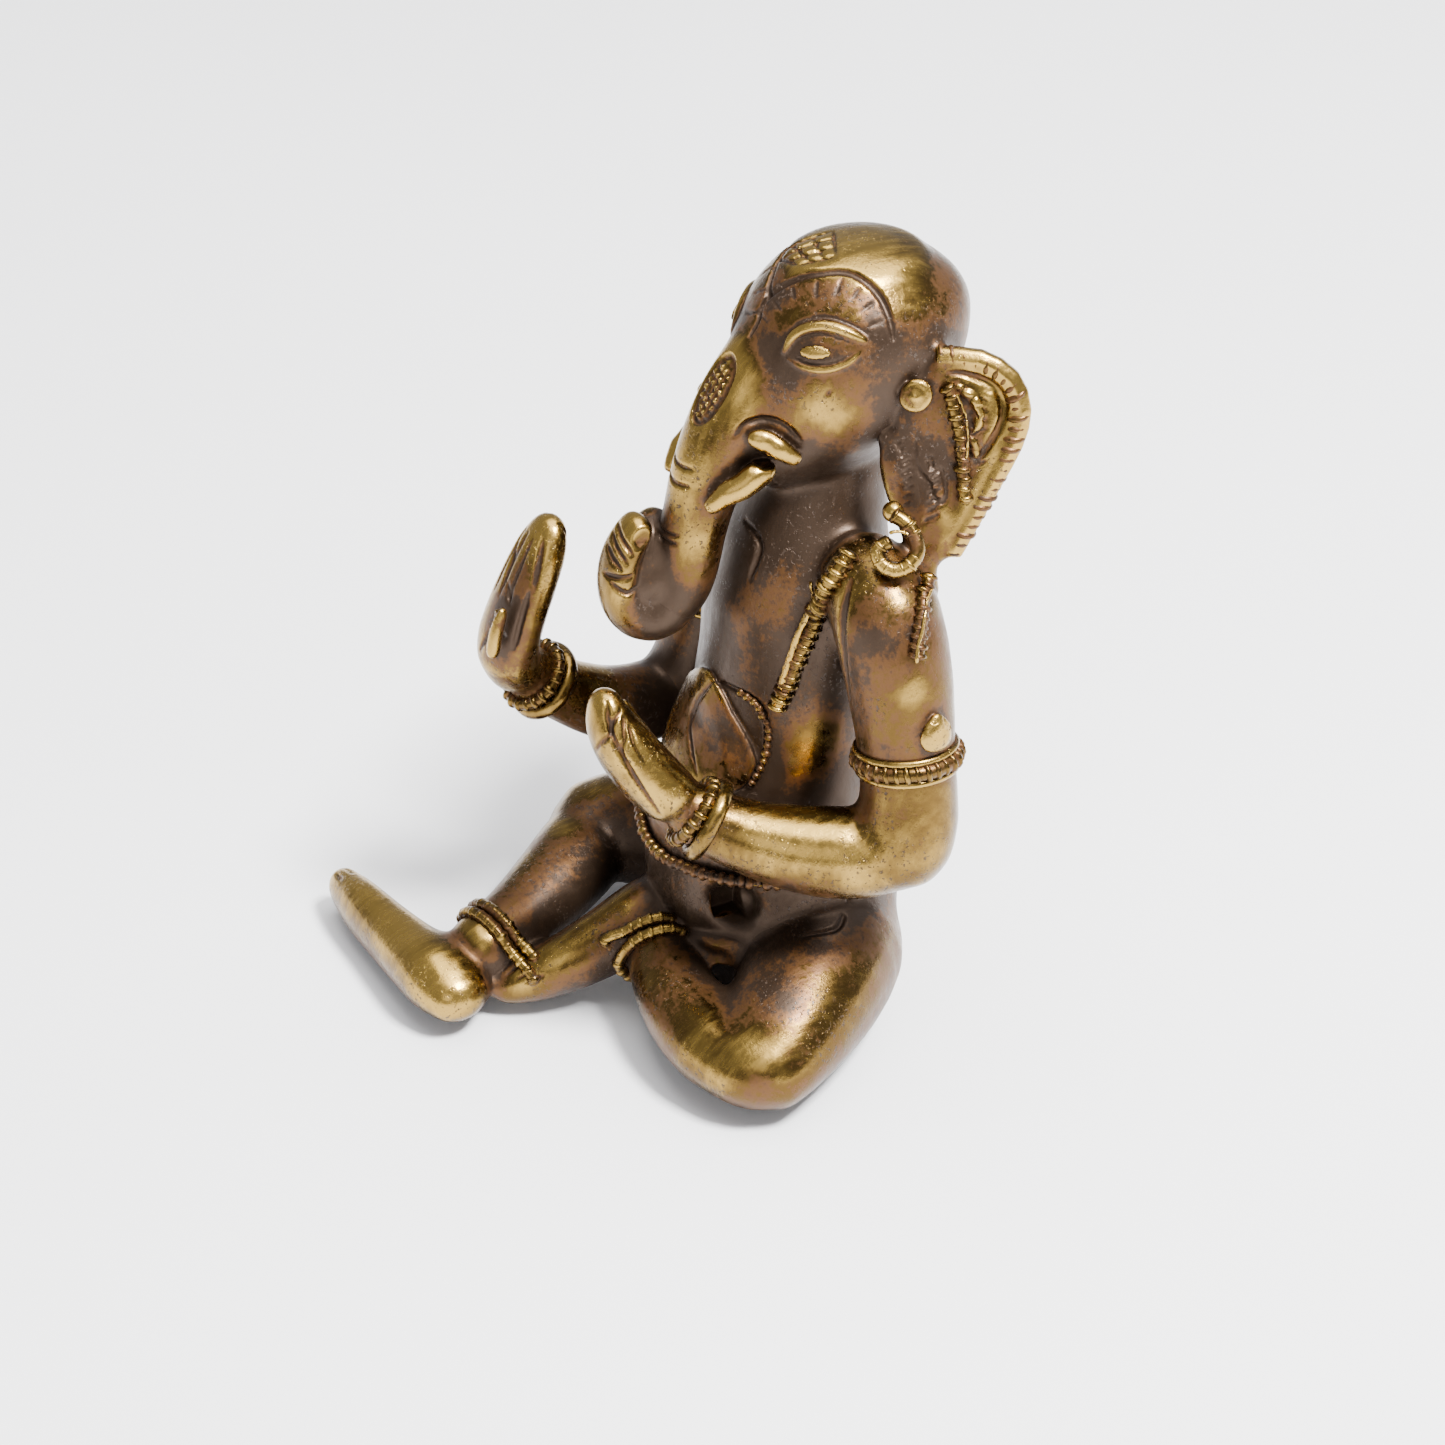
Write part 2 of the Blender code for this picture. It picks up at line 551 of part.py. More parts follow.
# Legs: thigh, shin and foot on each side. The folded left foot tucks in under the belly.
for side_name, leg, shin, foot in (("left", LEG_LEFT, SHIN_LEFT, FOOT_LEFT),
                                   ("right", LEG_RIGHT, SHIN_RIGHT, FOOT_RIGHT)):
    thigh = limb("thigh_" + side_name, leg, sides=18, steps=2, side_hint=Z_HINT, floor=True)
    cut(thigh, TORSO, 26, 1, X_HINT, start=0.2, end=0.5)
    lower = limb("shin_" + side_name, shin, sides=16, steps=2, side_hint=Z_HINT, end=0.4, floor=True)
    cut(lower, leg, 18, 2, Z_HINT)
    sole = limb("foot_" + side_name, foot, sides=16, steps=2, side_hint=Z_HINT, floor=True)
    cut(lower, foot, 16, 2, Z_HINT)
    start = 0.70 if side_name == "left" else 0.78
    anklet = band("anklet_" + side_name, shin, start, start + 0.09, Z_HINT, 1.0)
    cut(anklet, foot, 16, 2, Z_HINT)
    if side_name == "left":
        for piece in (lower, sole, anklet):
            cut(piece, TORSO, 26, 1, X_HINT, start=0.2, end=0.5)
        cut(sole, SHIN_RIGHT, 16, 2, Z_HINT, end=0.4)
    else:
        cut(anklet, FOOT_LEFT, 16, 2, Z_HINT)

# Arms: the forearm meets the rounded elbow, and the hand meets the wrist.
for side_name, arm, fore, hand in (("left", UPPER_ARM_LEFT, FOREARM_LEFT, HAND_LEFT),
                                   ("right", UPPER_ARM_RIGHT, FOREARM_RIGHT, HAND_RIGHT)):
    upper = limb("upper_arm_" + side_name, arm, sides=16, steps=2, side_hint=Y_HINT)
    cut(upper, TORSO, 26, 1, X_HINT, start=0.2, end=0.5)
    lower = limb("forearm_" + side_name, fore, sides=16, steps=2, side_hint=Z_HINT, end=0)
    cut(lower, arm, 16, 2, Y_HINT)
    palm = limb("hand_" + side_name, hand, sides=16, steps=2, side_hint=X_HINT, start=0.3)
    cut(palm, fore, 16, 2, Z_HINT, end=0)
    band("armlet_" + side_name, arm, 0.56, 0.62, Y_HINT, 0.65)
    band("bracelet_inner_" + side_name, fore, 0.75, 0.82, Z_HINT, 0.9)
    band("bracelet_outer_" + side_name, fore, 0.86, 0.93, Z_HINT, 0.9)

# A pocket is left open under the belly, between it, the left thigh and the left foot.
pocket_mesh = bpy.data.meshes.new("cutter")
bm = bmesh.new()
bmesh.ops.create_uvsphere(bm, u_segments=14, v_segments=10, radius=POCKET_RADIUS * MM)
bmesh.ops.translate(bm, verts=bm.verts, vec=Vector(POCKET_CENTRE) * MM)
bm.to_mesh(pocket_mesh)
bm.free()
pocket = bpy.data.objects.new("cutter", pocket_mesh)
bpy.context.scene.collection.objects.link(pocket)
apply_difference(torso, pocket)


def leaf_outline(angle):
    width = LEAF_HALF_WIDTH * math.sin(angle)
    height = -LEAF_HALF_HEIGHT * math.cos(angle) * (1.0 + 0.16 * max(0.0, math.cos(angle)) ** 4)
    return width * (1.0 - 0.18 * max(0.0, math.cos(angle))), height


def leaf_sheet(a, d):
    return Vector((a, LEAF_FRONT_Y + LEAF_WRAP * a * a, LEAF_CENTRE_Z - d))


# Belly leaf, its beaded edge, the waist cord and the sacred thread.
body = surface_of("torso")
laid_patch("belly_leaf", body, leaf_sheet, leaf_outline, LEAF_THICKNESS, sides=24)
edge_route = []
for k in range(15):
    a, d = leaf_outline(math.radians(16 + 328 * k / 14))
    edge_route.append(leaf_sheet(a * 1.2, d * 1.2))
laid_tube("belly_beads", body, edge_route, 0.6, sides=6, steps=2)
laid_tube("waist_cord", body, WAIST_CORD, 0.75, sides=6, steps=2)
laid_tube("sacred_thread", surface_of("torso", "upper_arm_left"), SACRED_THREAD, 1.05, sides=8,
          steps=2, flat=0.75)
cut(pieces["sacred_thread"], UPPER_ARM_LEFT, 16, 2, Y_HINT)

for side_name, side, eye in (("left", 1, EYE_LEFT), ("right", -1, EYE_RIGHT)):
    head_and_trunk = surface_of("head", "trunk")
    almond("eye_" + side_name, surface_of("head"), eye, mirrored((0.6, 0.8, 0.05), side), (2.9, 1.35, 0.7))
    laid_tube("tusk_" + side_name, head_and_trunk,
              [tuple(mirrored(p, side)) + (p[3],) for p in TUSK], 1.5, sides=8, steps=2, flat=0.85)
    laid_tube("tusk_socket_" + side_name, surface_of("head", "trunk", "tusk_" + side_name),
              [tuple(mirrored(p, side)) + (p[3],) for p in TUSK_SOCKET], 1.2, sides=8, steps=2,
              flat=0.8)

    # Ear plate with its beaded rim, ridge and leaves, the stud and the earring.
    ear = ear_plate("ear_" + side_name, side)
    cut(ear, HEAD, **HEAD_SHAPE)
    rim = [on_ear(side, u * 0.965 + 0.1, v * 0.97 + 0.7) for u, v in EAR_OUTLINE[1:9]]
    free_tube("ear_rim_" + side_name, rim, 0.72, ear_frame(side)[3], sides=6, steps=2)
    ear_surface = surface_of("ear_" + side_name)
    ridge = [on_ear(side, u, v, 1.2) for u, v in EAR_RIDGE]
    laid_tube("ear_ridge_" + side_name, ear_surface, ridge, 0.75, sides=8, steps=2)
    for number, line in (("front", EAR_LEAF_FRONT), ("rear", EAR_LEAF_REAR)):
        route = [tuple(on_ear(side, u, v, 1.2)) + (r,) for u, v, r in line]
        laid_tube("ear_leaf_" + number + "_" + side_name, ear_surface, route, 1.0, sides=8, steps=2,
                  flat=0.5)
    stud = turned_boss("ear_stud_" + side_name, side, -0.8, 4.4, 1.5)
    cut(stud, HEAD, **HEAD_SHAPE)
    ball("earring_bead_" + side_name, mirrored(EARRING_BEAD, side), 1.15)
    coil = []
    _, out, down, face = ear_frame(side)
    for k in range(15):
        a = math.radians(-120 + 330 * k / 14)
        reach = 2.5 - 1.1 * k / 14
        coil.append(mirrored(EARRING, side) + out * (reach * math.cos(a)) + down * (reach * math.sin(a)))
    free_tube("earring_" + side_name, coil, 0.85, face, sides=6, steps=1)
    arm_surface = surface_of("upper_arm_" + side_name)
    laid_tube("shoulder_lock_" + side_name, arm_surface, [mirrored(p, side) for p in SHOULDER_LOCK], 0.85,
              sides=6, steps=2)

# Leaf ornament above each armlet, gathered cloth at each hip, and the thumbs.
for side_name, side, spot in (("left", 1, ARMLET_LEAF_LEFT), ("right", -1, ARMLET_LEAF_RIGHT)):
    laid_patch("armlet_leaf_" + side_name, surface_of("upper_arm_" + side_name),
               flat_sheet(spot, (0.25 * side, 0.97, 0), (0.1 * side, 0, -1)),
               lambda a: (2.0 * math.sin(a) * (1 - 0.35 * math.cos(a)), -2.4 * math.cos(a)),
               0.8, rings=2, sides=14)
    laid_tube("hip_cloth_" + side_name, surface_of("torso", "thigh_" + side_name),
              [mirrored(p, side) for p in HIP_CLOTH], 1.5, sides=8, steps=3, flat=0.45)
laid_tube("thumb_left", surface_of("hand_left"), THUMB_LEFT, 1.3, sides=10, steps=3)
laid_tube("thumb_right", surface_of("hand_right"), THUMB_RIGHT, 1.3, sides=10, steps=3)
web_ground = surface_of("torso", "thigh_left", "shin_left", "foot_left")
laid_patch("lap_web", web_ground, flat_sheet(LAP_WEB, (0.75, 0.45, 0.1), (0.2, -0.5, -0.6)),
           lambda a: (3.6 * math.cos(a), 2.2 * math.sin(a)), 0.9, rings=2, sides=14)

# The finished figure is moved so that its origin is under the middle of it, on the floor.
lowest = Vector((1e9, 1e9, 1e9))
highest = -lowest
for piece in pieces.values():
    for vertex in piece.data.vertices:
        for axis in range(3):
            value = piece.location[axis] + vertex.co[axis]
            lowest[axis] = min(lowest[axis], value)
            highest[axis] = max(highest[axis], value)
middle = (lowest + highest) / 2
for piece in pieces.values():
    piece.location -= Vector((middle.x, middle.y, lowest.z))
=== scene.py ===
"""A small seated ganesha figure in aged brass, on a pale floor.

Lengths are in mm up to the point where a mesh is made, and in metres from there on.
"""
import heapq
import math

import bpy
import numpy as np
import openvdb as vdb
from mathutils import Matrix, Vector


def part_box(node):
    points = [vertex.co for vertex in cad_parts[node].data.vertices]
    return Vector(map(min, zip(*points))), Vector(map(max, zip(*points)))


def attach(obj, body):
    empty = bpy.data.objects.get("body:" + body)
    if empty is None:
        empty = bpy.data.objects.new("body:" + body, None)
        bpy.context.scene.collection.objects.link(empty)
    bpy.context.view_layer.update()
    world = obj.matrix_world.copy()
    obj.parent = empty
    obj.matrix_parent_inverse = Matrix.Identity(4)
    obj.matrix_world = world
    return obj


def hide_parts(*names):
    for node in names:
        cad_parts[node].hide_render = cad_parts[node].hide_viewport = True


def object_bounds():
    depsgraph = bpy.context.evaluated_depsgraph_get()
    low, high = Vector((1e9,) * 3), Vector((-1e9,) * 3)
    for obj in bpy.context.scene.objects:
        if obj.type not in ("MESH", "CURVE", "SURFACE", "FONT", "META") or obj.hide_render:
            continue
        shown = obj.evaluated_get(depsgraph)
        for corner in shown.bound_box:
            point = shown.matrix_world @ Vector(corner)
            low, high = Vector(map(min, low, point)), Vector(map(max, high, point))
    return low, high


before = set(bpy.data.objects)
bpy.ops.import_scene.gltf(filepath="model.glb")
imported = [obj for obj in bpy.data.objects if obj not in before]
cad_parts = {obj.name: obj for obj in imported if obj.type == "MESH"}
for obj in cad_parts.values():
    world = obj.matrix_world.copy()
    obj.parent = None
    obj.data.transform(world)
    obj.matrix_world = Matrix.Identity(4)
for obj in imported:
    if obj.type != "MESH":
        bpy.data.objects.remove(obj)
packed_box = [list(corner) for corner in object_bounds()]

# ---------------------------------------------------------------------------------------------
# The casting's skin. The real figure is one pour of brass from a wax built up of rolled and
# pinched pieces, so limbs run into each other with soft fillets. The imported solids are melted
# together here in one grid of distances to the metal, which every later section works on.
STEP = 0.25       # spacing of the grid
REACH = 3.5                              # how far round each solid distances are kept
MARGIN = 5.0                             # room round the figure
FILLET = 1.1                             # where one limb runs into the next
CASTING_BLUR = 0.85                      # how far the pour has rounded the limbs
ORNAMENT_BED = 0.5                       # the skin stops this far under the strands pressed on it
ORNAMENT_FILLET = 0.7
EAR_RIM_FILLET = 3.0
NOBODY = 255
FLESH = ["torso", "head", "trunk", "trunk_curl", "upper_arm_left", "upper_arm_right", "forearm_left",
         "forearm_right", "thigh_left", "thigh_right", "shin_left", "shin_right", "foot_left",
         "foot_right", "hand_left", "hand_right"]
PRESSED_ON = {"lap_web": 1.0, "hip_cloth_left": 0.5, "hip_cloth_right": 0.5, "belly_leaf": 0.35,
              "ear_left": 0.7, "ear_right": 0.7, "ear_leaf_front_left": 0.3,
              "ear_leaf_front_right": 0.3, "ear_leaf_rear_left": 0.3, "ear_leaf_rear_right": 0.3,
              "ear_stud_left": 0.25, "ear_stud_right": 0.25, "earring_bead_left": 0.3,
              "earring_bead_right": 0.3, "armlet_leaf_left": 0.35, "armlet_leaf_right": 0.35,
              "thumb_left": 0.9, "thumb_right": 0.9, "tusk_left": 0.5, "tusk_right": 0.5,
              "tusk_socket_left": 0.5, "tusk_socket_right": 0.5, "eye_left": 0.25, "eye_right": 0.25}
SUNK = ["hip_cloth_left", "hip_cloth_right", "thumb_left", "thumb_right", "ear_leaf_front_left",
        "ear_leaf_front_right", "ear_leaf_rear_left", "ear_leaf_rear_right"]       # worn almost flush
CAST = FLESH + list(PRESSED_ON)

lowest = np.array(packed_box[0]) * 1000
highest = np.array(packed_box[1]) * 1000
base = np.floor((lowest - MARGIN) / STEP).astype(int)
size = np.ceil((highest + MARGIN) / STEP).astype(int) - base + 1
skin = np.full(size, REACH, np.float32)
nearest = np.full(size, REACH, np.float32)
second = np.full(size, REACH, np.float32)
owner = np.full(size, NOBODY, np.uint8)
solids = {}


def node_box(node):
    low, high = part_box(node)
    return np.array(low) * 1000, np.array(high) * 1000


def middle(node):
    low, high = node_box(node)
    return (low + high) / 2


def window(low, high, margin):
    """The part of the grid round a box, as slices."""
    first = np.maximum(np.floor((low - margin) / STEP).astype(int) - base, 0)
    last = np.minimum(np.ceil((high + margin) / STEP).astype(int) - base + 1, size)
    return tuple(slice(a, b) for a, b in zip(first, last))


def level_set(node, part):
    """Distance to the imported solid, negative inside, over one window."""
    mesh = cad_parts[node].data
    mesh.calc_loop_triangles()
    points = np.empty(len(mesh.vertices) * 3, np.float32)
    mesh.vertices.foreach_get("co", points)
    triangles = np.empty(len(mesh.loop_triangles) * 3, np.int32)
    mesh.loop_triangles.foreach_get("vertices", triangles)
    grid = vdb.FloatGrid.createLevelSetFromPolygons(
        points.reshape(-1, 3) * 1000, triangles=triangles.reshape(-1, 3).astype(np.uint32),
        transform=vdb.createLinearTransform(STEP), halfWidth=REACH / STEP)
    values = np.empty([s.stop - s.start for s in part], np.float32)
    grid.copyToArray(values, ijk=tuple(int(s.start + b) for s, b in zip(part, base)))
    return values


def blurred(values, sigma):
    """Gaussian smoothing, sigma in mm."""
    reach = max(1, math.ceil(2.5 * sigma / STEP))
    weights = np.exp(-0.5 * (np.arange(-reach, reach + 1) * STEP / sigma) ** 2)
    weights = (weights / weights.sum()).astype(np.float32)
    for axis in range(3):
        padded = np.pad(values, [(reach, reach) if a == axis else (0, 0) for a in range(3)], mode="edge")
        values = np.zeros_like(values)
        for k, weight in enumerate(weights):
            spot = [slice(None)] * 3
            spot[axis] = slice(k, k + values.shape[axis])
            values += weight * padded[tuple(spot)]
    return values


def melt(one, other, fillet):
    """Union of two shapes with a fillet between them."""
    share = np.clip(0.5 + 0.5 * (one - other) / fillet, 0, 1)
    return one + (other - one) * share - fillet * share * (1 - share)


for number, node in enumerate(CAST):
    part = window(*node_box(node), REACH)
    values = level_set(node, part)
    solids[node] = (part, values)
    closer = values < nearest[part]
    second[part] = np.where(closer, nearest[part], np.minimum(second[part], values))
    owner[part] = np.where(closer, number, owner[part])
    nearest[part] = np.minimum(nearest[part], values)
    if node in FLESH:
        skin[part] = np.where(values < REACH, melt(skin[part], values, FILLET), skin[part])
skin = blurred(skin, CASTING_BLUR) - 0.1
for node, fillet in PRESSED_ON.items():
    part, values = solids[node]
    if node in SUNK:
        soft = blurred(values, 0.7) + 0.1
    else:
        soft = blurred(values, 0.3) - (0.0 if "eye" in node else 0.2)
    skin[part] = np.where(values < REACH - 0.5, melt(skin[part], soft, fillet), skin[part])

ORNAMENTS = [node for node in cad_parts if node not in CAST]
crowd = np.full(size, REACH, np.float32)
for node in ORNAMENTS:
    part = window(*node_box(node), 2.0)
    crowd[part] = np.minimum(crowd[part], level_set(node, part))
skin = np.where(crowd < REACH, melt(skin, crowd + ORNAMENT_BED, ORNAMENT_FILLET), skin).astype(np.float32)
for node in ("ear_rim_left", "ear_rim_right"):
    part = window(*node_box(node), 3.0)
    skin[part] = melt(skin[part], level_set(node, part), EAR_RIM_FILLET)


def sampled(values, points, corner):
    """Values between grid points. corner is the grid index that the array starts at."""
    place = np.clip(np.asarray(points) / STEP - corner, 0, np.array(values.shape) - 1.001)
    cell = place.astype(int)
    f = place - cell
    total = 0.0
    for dx in (0, 1):
        for dy in (0, 1):
            for dz in (0, 1):
                weight = (f[..., 0] if dx else 1 - f[..., 0]) * (f[..., 1] if dy else 1 - f[..., 1])
                weight = weight * (f[..., 2] if dz else 1 - f[..., 2])
                total = total + weight * values[cell[..., 0] + dx, cell[..., 1] + dy, cell[..., 2] + dz]
    return total


def slope(values, points, corner):
    """Which way the values rise, and how fast."""
    shifts = np.eye(3) * STEP
    return np.stack([(sampled(values, points + s, corner) - sampled(values, points - s, corner)) / (2 * STEP)
                     for s in shifts], -1)


def on_skin(points, lift=0.0):
    """Moves points to the skin, or to a height above it."""
    points = np.array(points, float)
    for _ in range(8):
        g = slope(skin, points, base)
        height = sampled(skin, points, base) - lift
        points = points - g * (height / np.maximum((g * g).sum(-1), 0.05))[..., None]
    return points


LINE_SPACING = 0.35


def smooth_line(points):
    """Catmull-Rom curve through control points."""
    points = np.array(points, float)
    ends = np.concatenate([[2 * points[0] - points[1]], points, [2 * points[-1] - points[-2]]])
    line = [points[0]]
    for a, b, c, d in zip(ends, ends[1:], ends[2:], ends[3:]):
        steps = max(2, int(np.linalg.norm(c - b) / LINE_SPACING))
        for k in range(1, steps + 1):
            t = k / steps
            line.append(0.5 * (2 * b + (c - a) * t + (2 * a - 5 * b + 4 * c - d) * t * t
                               + (3 * b - a - 3 * c + d) * t ** 3))
    return np.array(line)


def brush(line, radii, margin):
    """Window round a line and the distance there to its round stroke."""
    part = window(line.min(0), line.max(0), margin)
    axes = [(np.arange(s.start, s.stop) + b) * STEP for s, b in zip(part, base)]
    x, y, z = np.meshgrid(*axes, indexing="ij", sparse=True)
    result = None
    for k in range(len(line) - 1):
        a, d = line[k], line[k + 1] - line[k]
        t = ((x - a[0]) * d[0] + (y - a[1]) * d[1] + (z - a[2]) * d[2]) / max(d @ d, 1e-9)
        t = np.clip(t, 0, 1)
        away = np.sqrt((x - a[0] - t * d[0]) ** 2 + (y - a[1] - t * d[1]) ** 2 + (z - a[2] - t * d[2]) ** 2)
        away = away - (radii[k] + (radii[k + 1] - radii[k]) * t)
        result = away if result is None else np.minimum(result, away)
    return part, result.astype(np.float32)


def taper(count, ends):
    """1 along a stroke, falling to ends at its two tips."""
    t = np.linspace(-1, 1, count)
    return 1 - (1 - ends) * np.abs(t) ** 4


GROOVE_EDGE = 0.12                       # rounding of a cut's two edges


def groove(points, width, depth, ends=0.4):
    """Cuts a round-bottomed line into the skin."""
    line = smooth_line(points)
    radius = (width * width / 4 + depth * depth) / (2 * depth)
    line = on_skin(line, radius - depth)
    part, away = brush(line, radius - depth * (1 - taper(len(line), ends)), width + 1)
    skin[part] = -melt(-skin[part], away, GROOVE_EDGE)


def ridge(points, radius, lift=0.0, ends=0.5, fillet=0.35, snap=True):
    """Raises a rounded roll of metal on the skin."""
    line = smooth_line(points)
    if snap:
        line = on_skin(line, lift)
    part, away = brush(line, radius * taper(len(line), ends), radius + 1.5)
    skin[part] = melt(skin[part], away, fillet)


DENT_EDGE = 0.3


def dent(centre, radius, depth_share=0.5):
    """Presses a round hollow."""
    line = on_skin([centre, np.array(centre) + 0.01], radius * (1 - depth_share))
    part, away = brush(line, [radius, radius], 1.5)
    skin[part] = -melt(-skin[part], away, DENT_EDGE)


def from_middle(node, offsets, side=1):
    """Control points given from the middle of a node, mirrored for the right side."""
    return [middle(node) + np.array(p) * (side, 1, 1) for p in offsets]


class Socket:
    """A shader value that can be used in sums and products."""

    def __init__(self, shader, socket):
        self.shader, self.socket = shader, socket

    def math(self, operation, *values):
        return self.shader.node("Math", values, operation=operation)

    def __add__(self, other):
        return self.math("ADD", self, other)

    def __radd__(self, other):
        return self.math("ADD", other, self)

    def __sub__(self, other):
        return self.math("SUBTRACT", self, other)

    def __rsub__(self, other):
        return self.math("SUBTRACT", other, self)

    def __mul__(self, other):
        return self.math("MULTIPLY", self, other)

    def __rmul__(self, other):
        return self.math("MULTIPLY", other, self)

    def between(self, low, high):
        """0 below low and 1 above high, with a smooth rise."""
        return self.shader.node("MapRange", {"Value": self, "From Min": low, "From Max": high},
                                interpolation_type="SMOOTHSTEP", output="Result")


class Shader:
    """One material's node tree."""

    def __init__(self, name):
        self.material = bpy.data.materials.new(name)
        self.material.use_nodes = True
        self.tree = self.material.node_tree
        self.principled = self.tree.nodes["Principled BSDF"]
        self.place = self.node("TexCoord", {}, output="Object")

    def put(self, target, value):
        if isinstance(value, Socket):
            self.tree.links.new(value.socket, target)
        elif isinstance(value, tuple) and len(value) == 3 and target.type == "RGBA":
            target.default_value = (*value, 1.0)
        else:
            target.default_value = value

    def node(self, kind, inputs, output=0, **settings):
        node = self.tree.nodes.new("ShaderNode" + kind)
        for name, value in settings.items():
            setattr(node, name, value)
        items = inputs.items() if isinstance(inputs, dict) else enumerate(inputs)
        for key, value in items:
            self.put(node.inputs[key], value)
        return Socket(self, node.outputs[output])

    def noise(self, scale, detail=3.0, roughness=0.55, place=None):
        return self.node("TexNoise", {"Vector": place or self.place, "Scale": scale, "Detail": detail,
                                      "Roughness": roughness}, output="Fac")

    def mix(self, share, one, other):
        node = self.tree.nodes.new("ShaderNodeMix")
        node.data_type = "RGBA"
        self.put(node.inputs["Factor"], share)
        self.put(node.inputs[6], one)       # the colour inputs and output of a Mix node
        self.put(node.inputs[7], other)
        return Socket(self, node.outputs[2])

    def stretched(self, scale):
        return self.node("Mapping", {"Vector": self.place, "Scale": scale})

    def attribute(self, name):
        return self.node("Attribute", {}, output="Fac", attribute_name=name)

    def finish(self, **inputs):
        for name, value in inputs.items():
            self.put(self.principled.inputs[name.replace("_", " ")], value)
        return self.material


POLISHED = (0.37, 0.232, 0.055)
OLIVE = (0.093, 0.054, 0.015)
RUSSET = (0.100, 0.044, 0.014)
PATINA = (0.040, 0.023, 0.013)


def aged_and_lit_brass(name, age_and_shade=0.0, polish=0.0):
    """Brass rubbed bright where hands reach it, brown where they do not, with painted light in the same mask:
    lighter on upward-facing skin and at painted highlight spots, darker at painted shade spots.

    The age value moves the whole piece towards the dark; it stands for patina, and on the far arm and far leg
    for painted shade. polish makes its high places brighter.
    """
    s = Shader(name)
    worn = s.attribute("worn")          # 1 on proud, open places and 0 in hollows; also lighter on upward-facing skin and at painted highlight spots, darker at painted shade spots
    broad = s.noise(75, 3)
    medium = s.noise(320, 4, 0.6)
    grain = s.noise(1500, 4, 0.7)
    brushed = s.noise(1100, 3, 0.6, s.stretched((1.0, 0.16, 0.22)))
    # This mask carries the painted light of the attribute as well as the wear: painted highlights lift it,
    # painted shade drops it.
    open_and_lit_metal = (worn - age_and_shade + 0.7 * (broad - 0.5) + 0.9 * (medium - 0.5) + 1.0 * (grain - 0.5)
                  + 0.4 * (brushed - 0.5))
    bright = open_and_lit_metal.between(0.44, 0.72)
    clean_and_lit = open_and_lit_metal.between(0.16, 0.46)
    pitted = (s.noise(2100, 2) - 0.60).between(0.0, 0.05) * s.noise(120, 3).between(0.46, 0.60)
    rubbed_and_lit = (worn + 0.6 * (brushed - 0.5) + 0.6 * (medium - 0.5) + polish).between(0.70, 1.35)
    gold = s.mix(rubbed_and_lit, OLIVE, POLISHED)
    russet = s.mix(clean_and_lit, PATINA, RUSSET)
    colour = s.mix(bright, russet, gold)
    colour = s.mix(0.85 * pitted, colour, PATINA)
    metallic = 0.72 + 0.28 * bright - 0.4 * pitted
    rough = 0.41 - 0.16 * bright + 0.35 * (brushed - 0.5) + 0.25 * (grain - 0.5) - 0.08 * polish
    height = 0.55 * medium + 0.45 * grain + 0.45 * brushed - 0.8 * pitted
    bump = s.node("Bump", {"Strength": 0.65, "Distance": 0.0001, "Height": height}, output="Normal")
    return s.finish(Base_Color=colour, Metallic=metallic, Roughness=rough, Normal=bump)


COARSE = 4                               # grid steps in one cell of the shelter grid
NEAR, FAR = 3.6, 8.5                     # how far away metal shelters a place from hands
solid_share = (skin[::COARSE, ::COARSE, ::COARSE] < 0).astype(np.float32)
solid_share[:, :, :max(int(round(-base[2] / COARSE)), 1)] = 1.0       # the floor counts as metal here, so skin close to it comes out darker
near_share = blurred(solid_share, NEAR / COARSE)
far_share = blurred(solid_share, FAR / COARSE)
# Spots of rubbed wear mixed with painted highlights and painted shade.
spots_of_wear_and_light = []


def add_wear_and_light_spots(node, amount, radius, *places, both=False):
    """Spots made brighter, or darker where the amount is negative, given from a node's middle: partly rubbed
    wear, partly painted highlights and painted shade.
    """
    for place in places:
        spots_of_wear_and_light.append((middle(node) + np.array(place), radius, amount))
        if both:
            other = node.replace("_left", "_right")
            spots_of_wear_and_light.append((middle(other) + np.array(place) * (-1, 1, 1), radius, amount))


def wear_and_light_at(points, fine, broad, corner, upward):
    """1 on proud and open places, 0 in hollows, in sheltered places and beside ornaments; lighter on
    upward-facing skin as painted light from above, and moved by the painted highlight and shade spots.
    """
    hollow = sampled(fine, points, corner) * 3.2 + sampled(broad, points, corner) * 0.9
    shelter = sampled(near_share, points / COARSE, base / COARSE) + 0.8 * sampled(
        far_share, points / COARSE, base / COARSE)
    beside = np.exp(-np.maximum(sampled(crowd, points, base), 0) / 0.55)
    # the 0.30 * upward term is painted light from above: upward-facing skin lighter, downward-facing skin
    # darker
    worn = 1.05 + 0.30 * upward + hollow - shelter - 0.28 * beside
    for place, radius, amount in spots_of_wear_and_light:
        worn = worn + amount * np.exp(-((points - place) ** 2).sum(-1) / radius ** 2)
    return np.clip(worn, 0, 1.5).astype(np.float32)


def mesh_object(name, points, faces, worn, material):
    mesh = bpy.data.meshes.new(name)
    mesh.from_pydata((points / 1000).tolist(), [], faces.tolist())
    mesh.attributes.new("worn", "FLOAT", "POINT").data.foreach_set("value", worn)
    mesh.shade_smooth()
    mesh.materials.append(material)
    piece = bpy.data.objects.new(name, mesh)
    bpy.context.scene.collection.objects.link(piece)
    return piece


MOST_TRIANGLES = 180000


def thin(piece, share):
    """Joins triangles where the skin is smooth, until the given share is left."""
    piece.modifiers.new("fewer", "DECIMATE").ratio = share
    graph = bpy.context.evaluated_depsgraph_get()
    graph.update()
    dense = piece.data
    piece.data = bpy.data.meshes.new_from_object(piece.evaluated_get(graph))
    piece.modifiers.clear()
    bpy.data.meshes.remove(dense)


def keep(piece, slot, *nodes):
    """Hangs a finished piece under the root empty and hides the given nodes it stands in for."""
    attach(piece, "root")
    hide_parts(*nodes)


